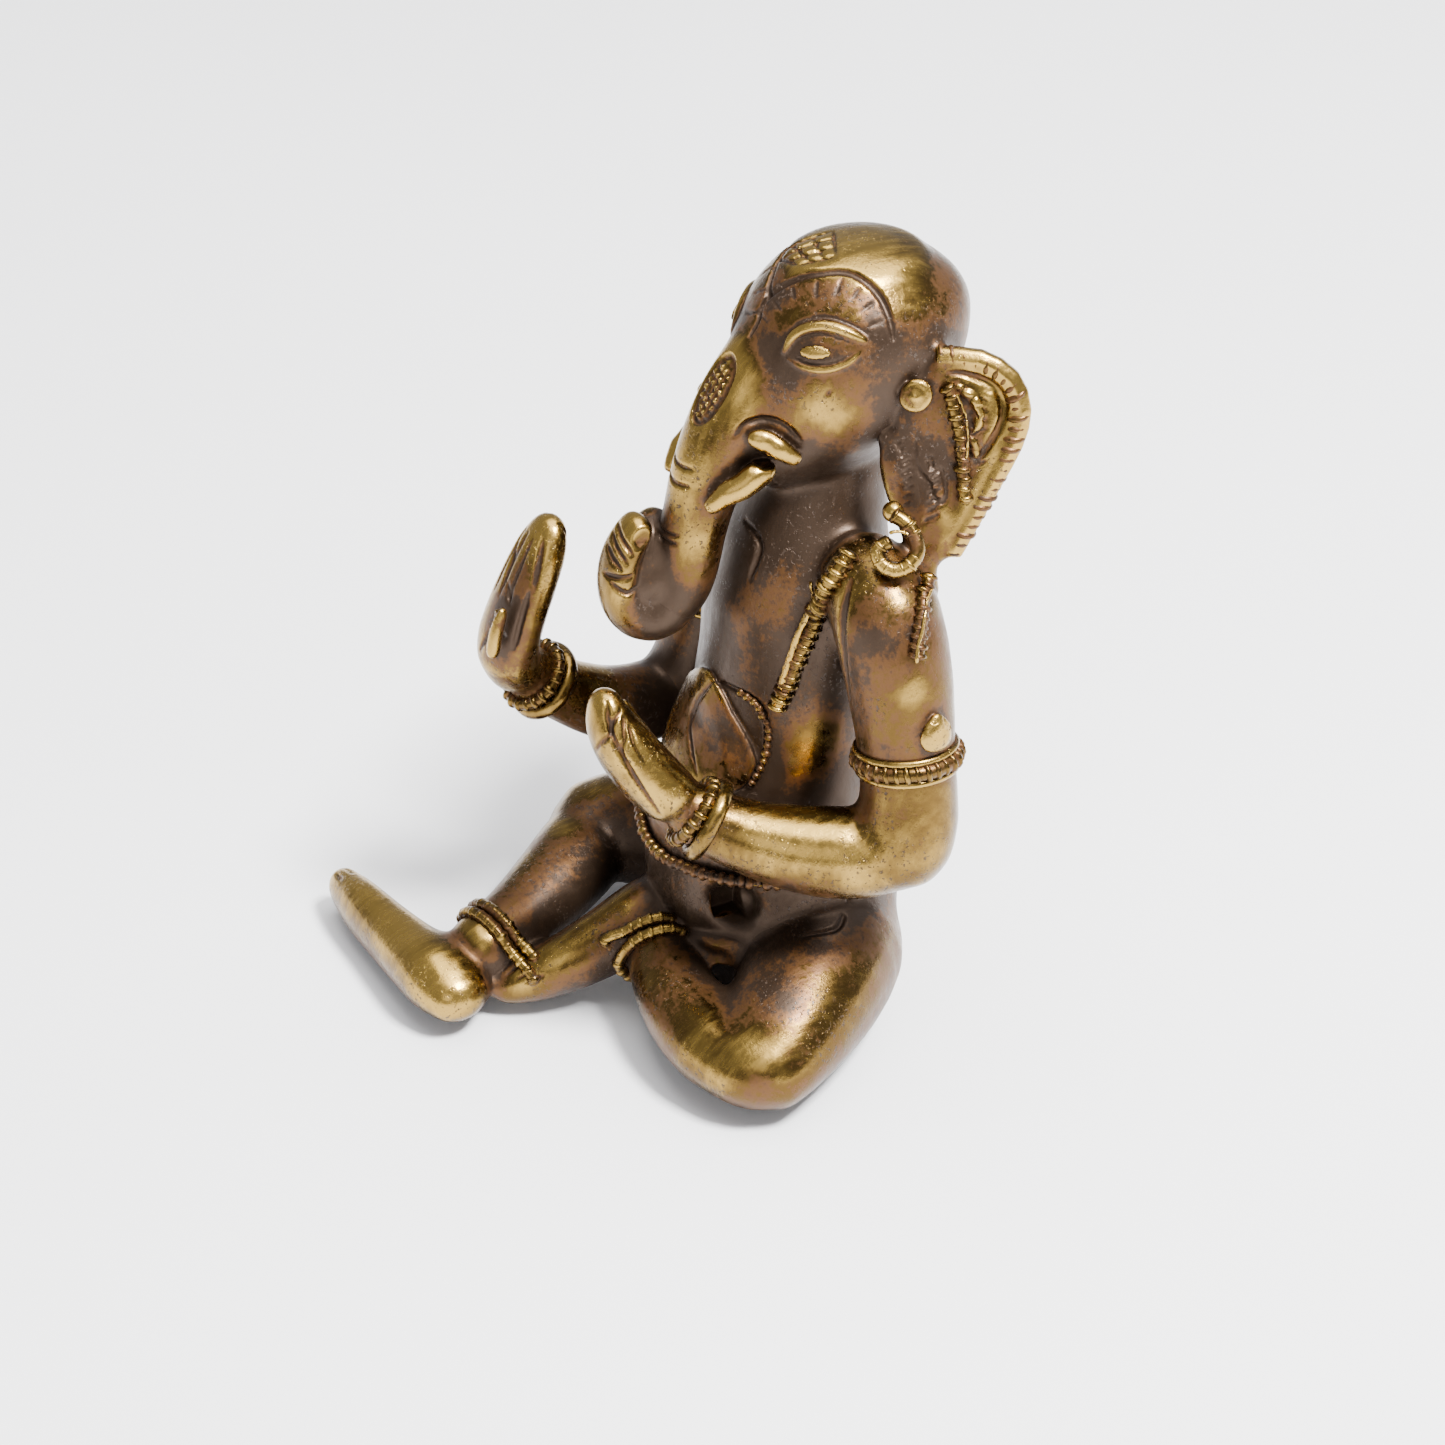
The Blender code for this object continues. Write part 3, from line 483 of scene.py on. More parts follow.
def cast(node, slot, material):
    """Cuts one piece's own part out of the common skin.

    Past its own ground the piece sinks slowly under its neighbour, so that the two skins
    cross in a line and leave no slit.
    """
    part = window(*node_box(node), 3.2)
    own = level_set(node, part)
    rival = np.where(owner[part] == CAST.index(node), second[part], nearest[part])
    beyond = 0.5 * (own - rival)
    near_skin = skin[part]
    shape = np.maximum(near_skin + 0.16 * np.maximum(beyond, 0), beyond - 0.8)
    for axis in range(3):
        spot = [slice(None)] * 3
        for end in (0, -1):
            spot[axis] = end
            shape[tuple(spot)] = np.maximum(shape[tuple(spot)], 0.5)
    grid = vdb.FloatGrid(1.0)
    grid.copyFromArray(np.clip(shape, -1, 1))
    points, quads = grid.convertToQuads(isovalue=0)
    corner = np.array([s.start for s in part]) + base
    points = (points + corner) * STEP
    g = slope(shape, points, corner)
    points = points - g * (sampled(shape, points, corner) / np.maximum((g * g).sum(-1), 0.3))[:, None]
    a, b, c = (points[quads[:, k]] for k in (0, 1, 2))
    if np.einsum("ij,ij->i", a, np.cross(b, c)).sum() < 0:
        quads = quads[:, ::-1]
    worn = wear_and_light_at(points, blurred(near_skin, 0.4) - near_skin, blurred(near_skin, 1.4) - near_skin, corner,
                   slope(shape, points, corner)[:, 2])
    piece = mesh_object(node + "_skin", points, quads, worn, material)
    if 2 * len(quads) > MOST_TRIANGLES:
        thin(piece, MOST_TRIANGLES / (2 * len(quads)))
    keep(piece, slot, node)


# ---------------------------------------------------------------------------------------------
# Head and trunk. Chased in the wax with a pointed tool: an arched brow line, a hatched oval mark
# on the trunk's ridge, a lattice on the crown, lips folded round short tusks, and lens-shaped
# eyes between raised lids. The outer places are rubbed to yellow metal, with painted highlights
# on the crown, cheeks and eyes and painted shade under the brow and jaw laid in the same way.
BROW = [(-8.8, -2.6, 1.4), (-8.4, -1.1, 3.4), (-7.1, 0.7, 5.3), (-5.1, 3.1, 6.7), (-3.5, 5.7, 6.9),
        (-1.5, 7.1, 6.4), (0.1, 8.1, 4.9), (1.7, 8.4, 3.0), (2.9, 8.3, 0.8)]
UPPER_LID = [(-2.7, -2.6, -0.6), (-2.7, -1.5, 1.0), (-2.0, 0.0, 2.0), (-0.8, 1.8, 2.4), (0.7, 3.5, 2.0),
             (1.9, 5.1, 1.1)]
LOWER_LID = [(-2.2, -2.2, -1.4), (-0.6, -0.9, -2.0), (0.9, 0.8, -2.0), (1.9, 2.8, -1.3), (2.3, 4.3, -0.2)]
LIP_FOLD = [(-2.8, -3.7, 1.0), (-2.4, -2.4, 2.4), (-1.6, 0.0, 2.9), (-0.2, 1.4, 2.4), (0.9, 2.9, 0.7)]
for side_name, side in (("left", 1), ("right", -1)):
    eye = "eye_" + side_name
    groove(from_middle(eye, BROW, side), 0.95, 0.5, ends=0.5)
    low, high = np.array(from_middle(eye, BROW, side)), np.array(from_middle(eye, UPPER_LID, side))
    for k in range(14):
        t = 0.12 + 0.76 * k / 13
        upper = low[int(t * (len(low) - 1))]
        toward = middle(eye) - upper
        groove([upper + toward * 0.10, upper + toward * (0.26 + 0.05 * (k % 3))], 0.32, 0.12, ends=0.1)
    groove(from_middle(eye, [(x * 1.12, y * 1.08, z * 1.25 + 0.5) for x, y, z in UPPER_LID], side), 0.6, 0.25)
    ridge(from_middle(eye, UPPER_LID, side), 0.62, 0.0, ends=0.45)
    ridge(from_middle(eye, LOWER_LID, side), 0.36, 0.0, ends=0.4)
    groove(from_middle(eye, [(x * 0.8, y * 0.8, z * 0.62) for x, y, z in UPPER_LID], side), 0.3, 0.2)
    groove(from_middle(eye, [(x * 0.8, y * 0.8, z * 0.7) for x, y, z in LOWER_LID], side), 0.3, 0.2)
    groove(from_middle("tusk_socket_" + side_name, LIP_FOLD, side), 0.8, 0.4)
    socket = middle("tusk_socket_" + side_name)
    for shift in (-1.3, 0.2):
        groove([socket + (side * 0.2, shift - 0.2, -0.2), socket + (side * 0.9, shift + 0.4, -1.6)], 0.5, 0.3)
    cheek = middle("head") + np.array((10.2 * side, -7.0, 0.6))
    groove([cheek + (-1.0 * side, -1.0, 0.4), cheek + (-0.4 * side, -0.2, 1.2)], 0.4, 0.2, ends=0.1)

ridge_point = middle("trunk") + np.array((0.2, 1.7, 12.0))
along = np.array((0.0, 6.0, 9.6)) / math.hypot(6.0, 9.6)
oval = []
for k in range(25):
    a = 2 * math.pi * k / 24
    oval.append(ridge_point + along * (4.4 * math.cos(a)) + np.array((2.9 * math.sin(a), -2.0, 0.6)))
groove(oval, 0.9, 0.5, ends=1.0)
for k in range(-3, 4):
    reach = 2.6 * math.sqrt(max(0.0, 1 - (k / 3.8) ** 2))
    spot = ridge_point + along * (k * 1.1) + np.array((0, -2.0, 0.6))
    groove([spot + (-reach, 0, 0.5), spot, spot + (reach, 0, -0.5)], 0.55, 0.35, ends=0.6)
for k in (-1, 0, 1):
    spot = ridge_point + np.array((k * 1.2, -2.0, 0.6))
    reach = 3.7 * math.sqrt(1 - (k / 2.4) ** 2)
    groove([spot - along * reach, spot, spot + along * reach], 0.55, 0.35, ends=0.6)
trunk_mid = middle("trunk")
for height, low_y in ((3.0, -3.4), (0.9, -4.0), (-5.5, -5.2), (-6.6, -5.4)):
    arc = [trunk_mid + (x, low_y + 0.10 * x * x, height + 0.05 * x * x) for x in (-2.8, -1.4, 0, 1.4, 2.8)]
    groove(arc, 0.5, 0.3)
crown = middle("head")
back_left, front_left, front_right, back_right = (crown + np.array(p) for p in (
    (-3.4, 0.0, 13.7), (-4.6, -6.8, 11.4), (0.0, -6.4, 12.6), (1.9, -2.6, 13.5)))
for k in range(4):
    t = k / 3
    groove([back_left + (back_right - back_left) * t, front_left + (front_right - front_left) * t], 0.5, 0.3)
    groove([back_left + (front_left - back_left) * t, back_right + (front_right - back_right) * t], 0.5, 0.3)
curl = middle("trunk_curl")
ridge([curl + p for p in ((-3.0, 2.4, 5.3), (-1.4, 1.8, 3.0), (-0.1, 0.8, 0.6), (0.7, -0.5, -1.3))], 2.9,
      fillet=0.8, snap=False)
dent(curl + (2.2, -1.4, 6.6), 1.9, 0.55)
for facet in ([(-2.1, -3.2, 6.0), (2.1, -3.4, 3.6)], [(-2.2, -2.5, 7.0), (2.2, -2.7, 4.6)],
              [(-1.8, -3.9, 4.6), (1.9, -4.0, 2.8)], [(-0.8, -5.2, 1.6), (1.9, -4.2, 2.0), (3.6, -2.6, 2.2)],
              [(0.6, -4.9, 1.2), (2.4, -3.7, 0.0), (4.0, -2.2, 0.6)]):
    groove([curl + p for p in facet], 0.8, 0.4, ends=0.2)

# These spots are partly rubbed wear and partly painted light: painted shade along the brow, by the ears,
# under the jaw, behind the head and in the trunk's curl, and painted highlights on the crown, cheeks, eyes
# and trunk.
add_wear_and_light_spots("head", -0.55, 2.0, (0.6, -9.9, 9.1), (1.7, -8.3, 10.7), (3.4, -6.4, 11.9), (5.4, -4.3, 12.3),
    (7.2, -2.2, 11.5), (9.1, -1.0, 9.7), (10.6, -0.7, 7.5), (3.6, -11.6, 5.2), (6.5, -10.8, 3.0), both=True)
add_wear_and_light_spots("head", -0.30, 3.2, (11.1, -1.7, 5.8), (11.7, -1.5, 1.2), (10.9, -1.1, -4.5), both=True)
add_wear_and_light_spots("head", -0.40, 3.0, (8.4, -8.6, -7.0), (5.6, -10.2, -11.1), both=True)
add_wear_and_light_spots("head", -0.25, 4.0, (5.1, 10.5, 9.5), (8.5, 9.6, 6.9), (11.0, 3.8, 6.1), both=True)
add_wear_and_light_spots("head", 0.35, 5.0, (0.7, -0.1, 13.9), (6.7, 1.0, 12.7), (-1.4, -5.3, 13.0))
add_wear_and_light_spots("head", 0.26, 4.0, (9.2, -8.5, 0.6), (8.1, -10.4, -2.7), (10.5, -5.9, -2.7), both=True)
add_wear_and_light_spots("eye_left", 0.25, 1.8, (1.4, 1.1, 0.7), both=True)
add_wear_and_light_spots("trunk", -0.35, 3.0, (3.1, -3.1, -13.6))
add_wear_and_light_spots("trunk", 0.25, 3.0, (4.6, 4.5, 11.6), (0.4, 4.2, 16.0), (2.2, -2.5, 1.9), (3.5, -1.9, -5.6))
add_wear_and_light_spots("trunk_curl", -0.60, 4.5, (2.8, -0.3, -3.2), (3.9, 1.1, -4.8), (0.0, -3.5, 4.0), (-1.4, 1.8, 5.0))
add_wear_and_light_spots("head", -0.25, 2.5, (1.0, -10.5, 5.0), (2.0, -12.0, 3.0))
face_brass = aged_and_lit_brass("face_brass", age_and_shade=0.0, polish=0.05)
for node in ("head", "trunk", "trunk_curl", "eye_left", "eye_right", "tusk_left", "tusk_right",
             "tusk_socket_left", "tusk_socket_right"):
    cast(node, "brass", face_brass)

# ---------------------------------------------------------------------------------------------
# Ears. Flat leaves of wax with two hatched lobes and a turned stud pressed on them, cast in the
# same brass and browner than the face.
for side_name, side in (("left", 1), ("right", -1)):
    for lobe in ("ear_leaf_front_", "ear_leaf_rear_"):
        low, high = node_box(lobe + side_name)
        centre = (low + high) / 2
        for k in range(7):
            z = low[2] + (high[2] - low[2]) * (0.12 + 0.76 * k / 6)
            groove([(centre[0] - 1.2 * side, low[1] - 0.2, z + 0.3),
                    (centre[0] + 1.2 * side, high[1] + 0.2, z - 0.3)], 0.45, 0.22)
RIM_GROOVE = [(-1.3, 0.2, 10.3), (0.4, 2.6, 9.6), (1.7, 4.4, 8.4), (2.6, 5.0, 6.2), (3.1, 4.5, 4.2),
              (3.2, 3.2, 2.0), (2.9, 1.8, 0.1)]
SECOND_RIDGE = [(-0.5, 0.1, 9.1), (0.6, 1.5, 8.2), (1.5, 2.5, 7.0), (2.1, 2.6, 5.2), (2.2, 1.8, 3.0),
                (2.8, 2.0, 0.9)]
LOBE_EDGE = [(-1.0, -3.4, 3.2), (-0.7, -4.0, 0.6), (1.8, -4.0, -2.0), (2.0, -1.9, -4.6), (1.6, -1.4, -2.0),
             (2.1, -2.8, 1.8), (0.8, -3.6, 3.4)]
LOWER_EAR = [[(-3.4, -6.2, 2.0), (-2.2, -6.0, -2.1), (-0.5, -5.1, -6.7), (1.5, -3.9, -11.4),
              (2.9, -3.2, -15.2)],
             [(-2.3, -4.3, 2.0), (-0.3, -3.1, -2.6), (1.5, -2.1, -7.2), (2.6, -1.9, -10.9)],
             [(-2.9, -5.3, 2.0), (-1.3, -4.5, -2.4), (0.5, -3.6, -7.0), (2.0, -2.9, -12.0)],
             [(-1.6, -3.0, 2.0), (0.4, -1.8, -2.6), (2.0, -1.0, -7.0)]]
for side_name, side in (("left", 1), ("right", -1)):
    ear = "ear_" + side_name
    for line in LOWER_EAR:
        ridge(from_middle(ear, line, side), 1.25, fillet=1.4, snap=False)
    groove(from_middle(ear, RIM_GROOVE, side), 1.1, 0.5)
    ridge(from_middle(ear, SECOND_RIDGE, side), 0.6, 0.0)
    notches = on_skin(smooth_line(from_middle(ear, SECOND_RIDGE, side)), 0.4)[::3]
    for place in notches:
        groove([place + (0, -0.8, -0.3), place + (0, 0.8, 0.3)], 0.4, 0.25)
    groove(from_middle(ear, LOBE_EDGE, side), 0.5, 0.3)
    for k in range(9):
        z = 4.4 - 1.05 * k
        groove(from_middle(ear, [(0.0, -5.9, z - 1.2), (0.4, -4.6, z - 0.5)], side), 0.4, 0.24, ends=0.2)
        groove(from_middle(ear, [(1.2, -3.3, z - 2.8), (1.6, -1.9, z - 1.9)], side), 0.4, 0.24, ends=0.2)
        groove(from_middle(ear, [(2.0, 2.9 - 0.3 * k, z + 4.6), (2.4, 4.1 - 0.35 * k, z + 3.6)], side),
               0.4, 0.2, ends=0.2)
# These dark spots on the ear leaves and ears are partly unrubbed patina and partly painted shade.
add_wear_and_light_spots("ear_leaf_front_left", -0.30, 3.5, (0.0, 0.0, 0.0), both=True)
add_wear_and_light_spots("ear_leaf_rear_left", -0.30, 3.5, (0.0, 0.0, 0.0), both=True)
add_wear_and_light_spots("ear_left", -0.25, 4.0, (0.2, -3.7, -2.1), (1.9, 1.6, 3.8), (1.5, -2.9, -8.3), both=True)
ear_brass = aged_and_lit_brass("ear_brass", age_and_shade=0.16)
for side_name in ("left", "right"):
    for node in ("ear_", "ear_leaf_front_", "ear_leaf_rear_", "ear_stud_", "earring_bead_"):
        cast(node + side_name, "brass", ear_brass)

# ---------------------------------------------------------------------------------------------
# Body. Round-bellied, with a leaf-shaped cloth on the belly, gathered cloth at the hips, and a
# pocket between belly and folded leg. Little rubbed, so mostly brown; the pocket is darkened as
# painted shadow, with painted shade on the chest under the head.
for side_name, side in (("left", 1), ("right", -1)):
    low, high = node_box("hip_cloth_" + side_name)
    for k in range(3):
        x, z = (low[0] + high[0]) / 2 + side * 0.8 * k, high[2] + 0.6 - 1.5 * k
        groove([(x, low[1] - 0.5, z), (x + side, (low[1] + high[1]) / 2, z), (x, high[1] + 0.5, z)], 0.7, 0.3)
pocket = middle("lap_web") + (-1.8, 2.0, 5.6)
dent(pocket, 3.1, 0.8)
# The pocket's strong darkening is painted shadow, where the gap between belly, thigh and shin falls dark.
add_wear_and_light_spots("lap_web", -1.4, 3.2, (-1.8, 2.0, 5.6), (-2.2, 3.0, 4.0))
groove([middle("torso") + p for p in ((-0.2, -3.6, 28.2), (3.6, -3.7, 26.9), (4.0, -5.2, 22.8))], 0.9, 0.4)
groove(from_middle("torso", [(16.9, 0.7, 28.4), (18.5, -1.1, 21.8), (19.3, -0.4, 13.8)]), 1.4, 0.5)
groove(from_middle("belly_leaf", [(1.5, 1.8, 7.0), (7.0, 4.1, 6.8), (8.6, 4.9, 3.7), (9.0, 4.4, -0.1)]),
       0.7, 0.4)
groove(from_middle("belly_leaf", [(1.5, 1.6, 7.1), (-0.7, -0.1, 0.8), (4.0, -1.9, -4.0)]), 0.6, 0.35)
# These spots are partly rubbed wear and partly painted light: painted shade on the chest under the head, on
# the belly leaf and at the hips, and painted highlights on the belly and flank.
add_wear_and_light_spots("torso", -0.35, 5.0, (3.3, -3.5, 27.4), (5.7, 1.0, 32.8), (7.9, 6.4, 32.4), both=True)
add_wear_and_light_spots("torso", -0.20, 5.0, (6.7, -5.3, 18.9), (-3.1, -7.3, 11.0), (7.3, -2.4, 25.9), (5.6, -7.3, 4.8))
add_wear_and_light_spots("torso", 0.50, 3.5, (2.6, -6.4, 19.6), (11.5, -2.4, 1.0), (12.0, -0.1, 3.5), (7.0, -3.0, 22.0))
add_wear_and_light_spots("belly_leaf", -0.35, 5.0, (1.0, 0.0, 1.0), (6.0, 2.0, 0.0))
add_wear_and_light_spots("hip_cloth_left", -0.45, 6.0, (0.0, 0.0, 0.0), both=True)
body_brass = aged_and_lit_brass("body_brass", age_and_shade=0.06)
cloth_brass = aged_and_lit_brass("cloth_brass", age_and_shade=0.06)
cast("torso", "dark_brass", body_brass)
cast("belly_leaf", "dark_brass", body_brass)
cast("lap_web", "dark_brass", cloth_brass)
cast("hip_cloth_left", "brass", cloth_brass)
cast("hip_cloth_right", "dark_brass", cloth_brass)

# ---------------------------------------------------------------------------------------------
# Arms and hands. Rolled wax, bent at the elbow; the fingers are one flat paddle with lines
# between them. The left arm is the most handled part and shines, with painted highlights on the
# upper arm and forearm; the far right arm takes a darker copy of the brass as painted shade.
for side_name, side in (("left", 1), ("right", -1)):
    low, high = node_box("hand_" + side_name)
    hand = "hand_" + side_name
    if side == 1:
        groove(from_middle(hand, [(-1.7, -3.7, 8.0), (0.6, -4.3, 4.9), (3.0, -3.2, 0.7), (4.8, -0.2, -5.6)]),
               0.7, 0.4)
        tips = [(-1.0, -2.6, 6.4), (0.4, -2.2, 6.6), (1.6, -1.6, 6.3)]
        roots = [(-1.4, -3.0, 1.5), (0.8, -2.4, 1.2), (2.8, -1.4, 0.8)]
        for tip, root in zip(tips, roots):
            bend = (np.array(tip) + np.array(root)) / 2 + (0.5, -0.6, 0.2)
            groove([middle(hand) + tip, middle(hand) + bend, middle(hand) + root], 0.55, 0.28)
    else:
        for x in (-1.9, 0.0, 1.9):
            for y in (-3.5, 4.0):
                groove([middle(hand) + (x * 0.8, y * 0.4 + 2.0, 10.3), middle(hand) + (x, y * 0.8 + 0.8, 6.5),
                        middle(hand) + (x * 1.1, y - 0.6, 2.4)], 0.55, 0.28)
for line in ([(2.5, 1.8, 10.2), (3.7, 0.5, 7.3), (4.2, -0.4, 4.6)], [(-1.2, 0.3, 8.1), (-0.2, -1.3, 5.7),
             (0.1, -2.4, 3.4)], [(4.0, -3.2, -3.4), (4.1, -2.1, 0.7), (3.9, -0.9, 4.1)],
             [(-0.9, -5.3, -5.5), (2.9, -5.5, 2.2), (0.9, -2.1, 4.0)]):
    groove(from_middle("hand_right", line), 0.8, 0.4)
# These spots are partly rubbed wear and partly painted light: painted shade inside the arms and on the hands,
# and painted highlights down the near upper arm, along the near forearm and on the near hand.
add_wear_and_light_spots("upper_arm_left", -0.35, 2.5, (1.3, -5.1, 12.6), (0.7, -5.8, 7.0), (2.2, -5.4, 2.2), (5.8, -3.7, 0.4),
    both=True)
add_wear_and_light_spots("upper_arm_left", -0.30, 4.0, (-7.5, -1.9, 20.1), (0.8, -2.6, 16.9), (3.5, -3.3, 12.0), both=True)
add_wear_and_light_spots("upper_arm_left", 0.50, 1.6, (6.0, -0.9, 7.3), (5.0, -0.4, 11.3))
add_wear_and_light_spots("upper_arm_left", -0.25, 4.5, (4.2, 3.9, 10.1), both=True)
add_wear_and_light_spots("forearm_left", -0.30, 2.3, (-0.5, -6.6, 3.1), (-2.9, -4.4, 5.1), (4.2, -1.9, -2.8), (-3.4, -9.7, 5.1))
add_wear_and_light_spots("forearm_left", 0.35, 4.0, (7.1, 5.0, 2.6), (3.0, 0.6, 3.6), (0.9, -2.8, 3.7))
add_wear_and_light_spots("forearm_right", -0.25, 4.0, (2.2, 5.0, 0.9))
add_wear_and_light_spots("hand_left", -0.30, 3.0, (-0.1, -2.7, 6.3), (0.3, -4.7, 4.4), (3.6, -2.1, 0.0), (-3.1, -3.7, 8.3))
add_wear_and_light_spots("hand_left", 0.25, 2.0, (2.5, -3.5, 1.9), (4.4, -1.3, -1.9))
add_wear_and_light_spots("hand_right", -0.30, 4.0, (4.3, -0.9, 3.2), (1.2, -0.6, 7.0), (4.0, -2.9, -1.9))
add_wear_and_light_spots("thumb_right", -0.50, 3.0, (0.0, 0.0, 0.0), (0.0, 0.0, 3.0))
arm_brass = aged_and_lit_brass("arm_brass", age_and_shade=0.0, polish=0.05)
# A darker copy of the arm brass for the far right arm, hand and thumb: painted shade.
far_arm_brass = aged_and_lit_brass("far_arm_brass", age_and_shade=0.24)
for node in ("upper_arm", "forearm", "hand", "thumb"):
    cast(node + "_left", "brass", arm_brass)
    cast(node + "_right", "dark_brass" if "arm" in node else "brass", far_arm_brass)
for side_name in ("left", "right"):
    low, high = node_box("armlet_leaf_" + side_name)
    centre = (low + high) / 2
    for k in (-1, 0, 1):
        groove([(centre[0], centre[1] + k * 1.1, high[2] - 0.5),
                (centre[0], centre[1] + k * 0.5, low[2] + 0.5)], 0.4, 0.2)
    cast("armlet_leaf_" + side_name, "brass", arm_brass)

# ---------------------------------------------------------------------------------------------
# Legs and feet. Thick rolls of wax, folded in front; the toes are short cuts at the end of
# a paddle. Cast in the same aged brass, a little darker on the far thigh and shin as painted shade.
for side_name, side in (("left", 1), ("right", -1)):
    low, high = node_box("foot_" + side_name)
    for k in range(4):
        if side == 1:
            start = np.array((low[0] + 1.0 + k * 1.5, low[1] + 1.2 + 0.5 * k, 6.4))
            groove([start, start + (0.4, 2.6, 1.0)], 0.5, 0.26)
        else:
            start = np.array((low[0] + 1.6, low[1] + 1.4 + k * 1.7, 7.0))
            groove([start, start + (2.8, 0.0, 0.6)], 0.5, 0.26)
# These spots are partly rubbed wear and partly painted light: painted shade round the near thigh, on the far
# shin and the far toes, and painted highlights on the knee, the near foot and the far heel.
add_wear_and_light_spots("thigh_left", -0.25, 5.0, (-1.2, -2.6, 8.1), (-7.7, -5.9, 4.8))
add_wear_and_light_spots("thigh_left", -0.45, 2.3, (4.1, -9.3, 4.6), (4.1, -6.2, 5.6), (0.3, -8.2, 5.9), (8.1, -13.7, -1.0))
add_wear_and_light_spots("thigh_left", 0.45, 3.0, (5.8, -12.9, 2.2))
add_wear_and_light_spots("thigh_left", 0.20, 5.0, (4.3, 4.0, 1.9))
add_wear_and_light_spots("shin_left", -0.30, 5.0, (-3.1, 1.4, 5.1), (2.0, -4.0, 1.0))
add_wear_and_light_spots("shin_right", -0.45, 5.5, (6.6, 1.2, 1.7), (0.7, 8.3, 4.5), (4.0, -4.0, 0.0))
add_wear_and_light_spots("shin_right", 0.25, 2.0, (1.5, -2.5, 3.4), (-2.3, 5.6, 5.1))
add_wear_and_light_spots("foot_left", -0.30, 4.0, (3.3, 0.3, 1.1), (3.0, -5.0, -3.0))
add_wear_and_light_spots("foot_left", 0.25, 2.0, (1.6, -4.2, 0.5), (-0.2, -8.9, -2.6))
add_wear_and_light_spots("foot_right", 0.45, 4.0, (13.9, -2.5, 2.2), (3.0, -2.1, 3.7))
add_wear_and_light_spots("foot_right", -0.35, 2.2, (-12.0, -3.4, 2.2))
leg_brass = aged_and_lit_brass("leg_brass", age_and_shade=0.06)
# A darker copy of the leg brass for the far thigh and shin: painted shade.
far_leg_brass = aged_and_lit_brass("far_leg_brass", age_and_shade=0.12)
for node in ("thigh", "shin"):
    cast(node + "_left", "brass", leg_brass)
    cast(node + "_right", "dark_brass", far_leg_brass)
cast("foot_left", "brass", leg_brass)
cast("foot_right", "brass", leg_brass)

# ---------------------------------------------------------------------------------------------
# Strands and bands. Thin wax threads pressed round with a blade: strings of close ribs or beads
# laid on the chest, shoulders, ears, belly and waist, and rings round the limbs.


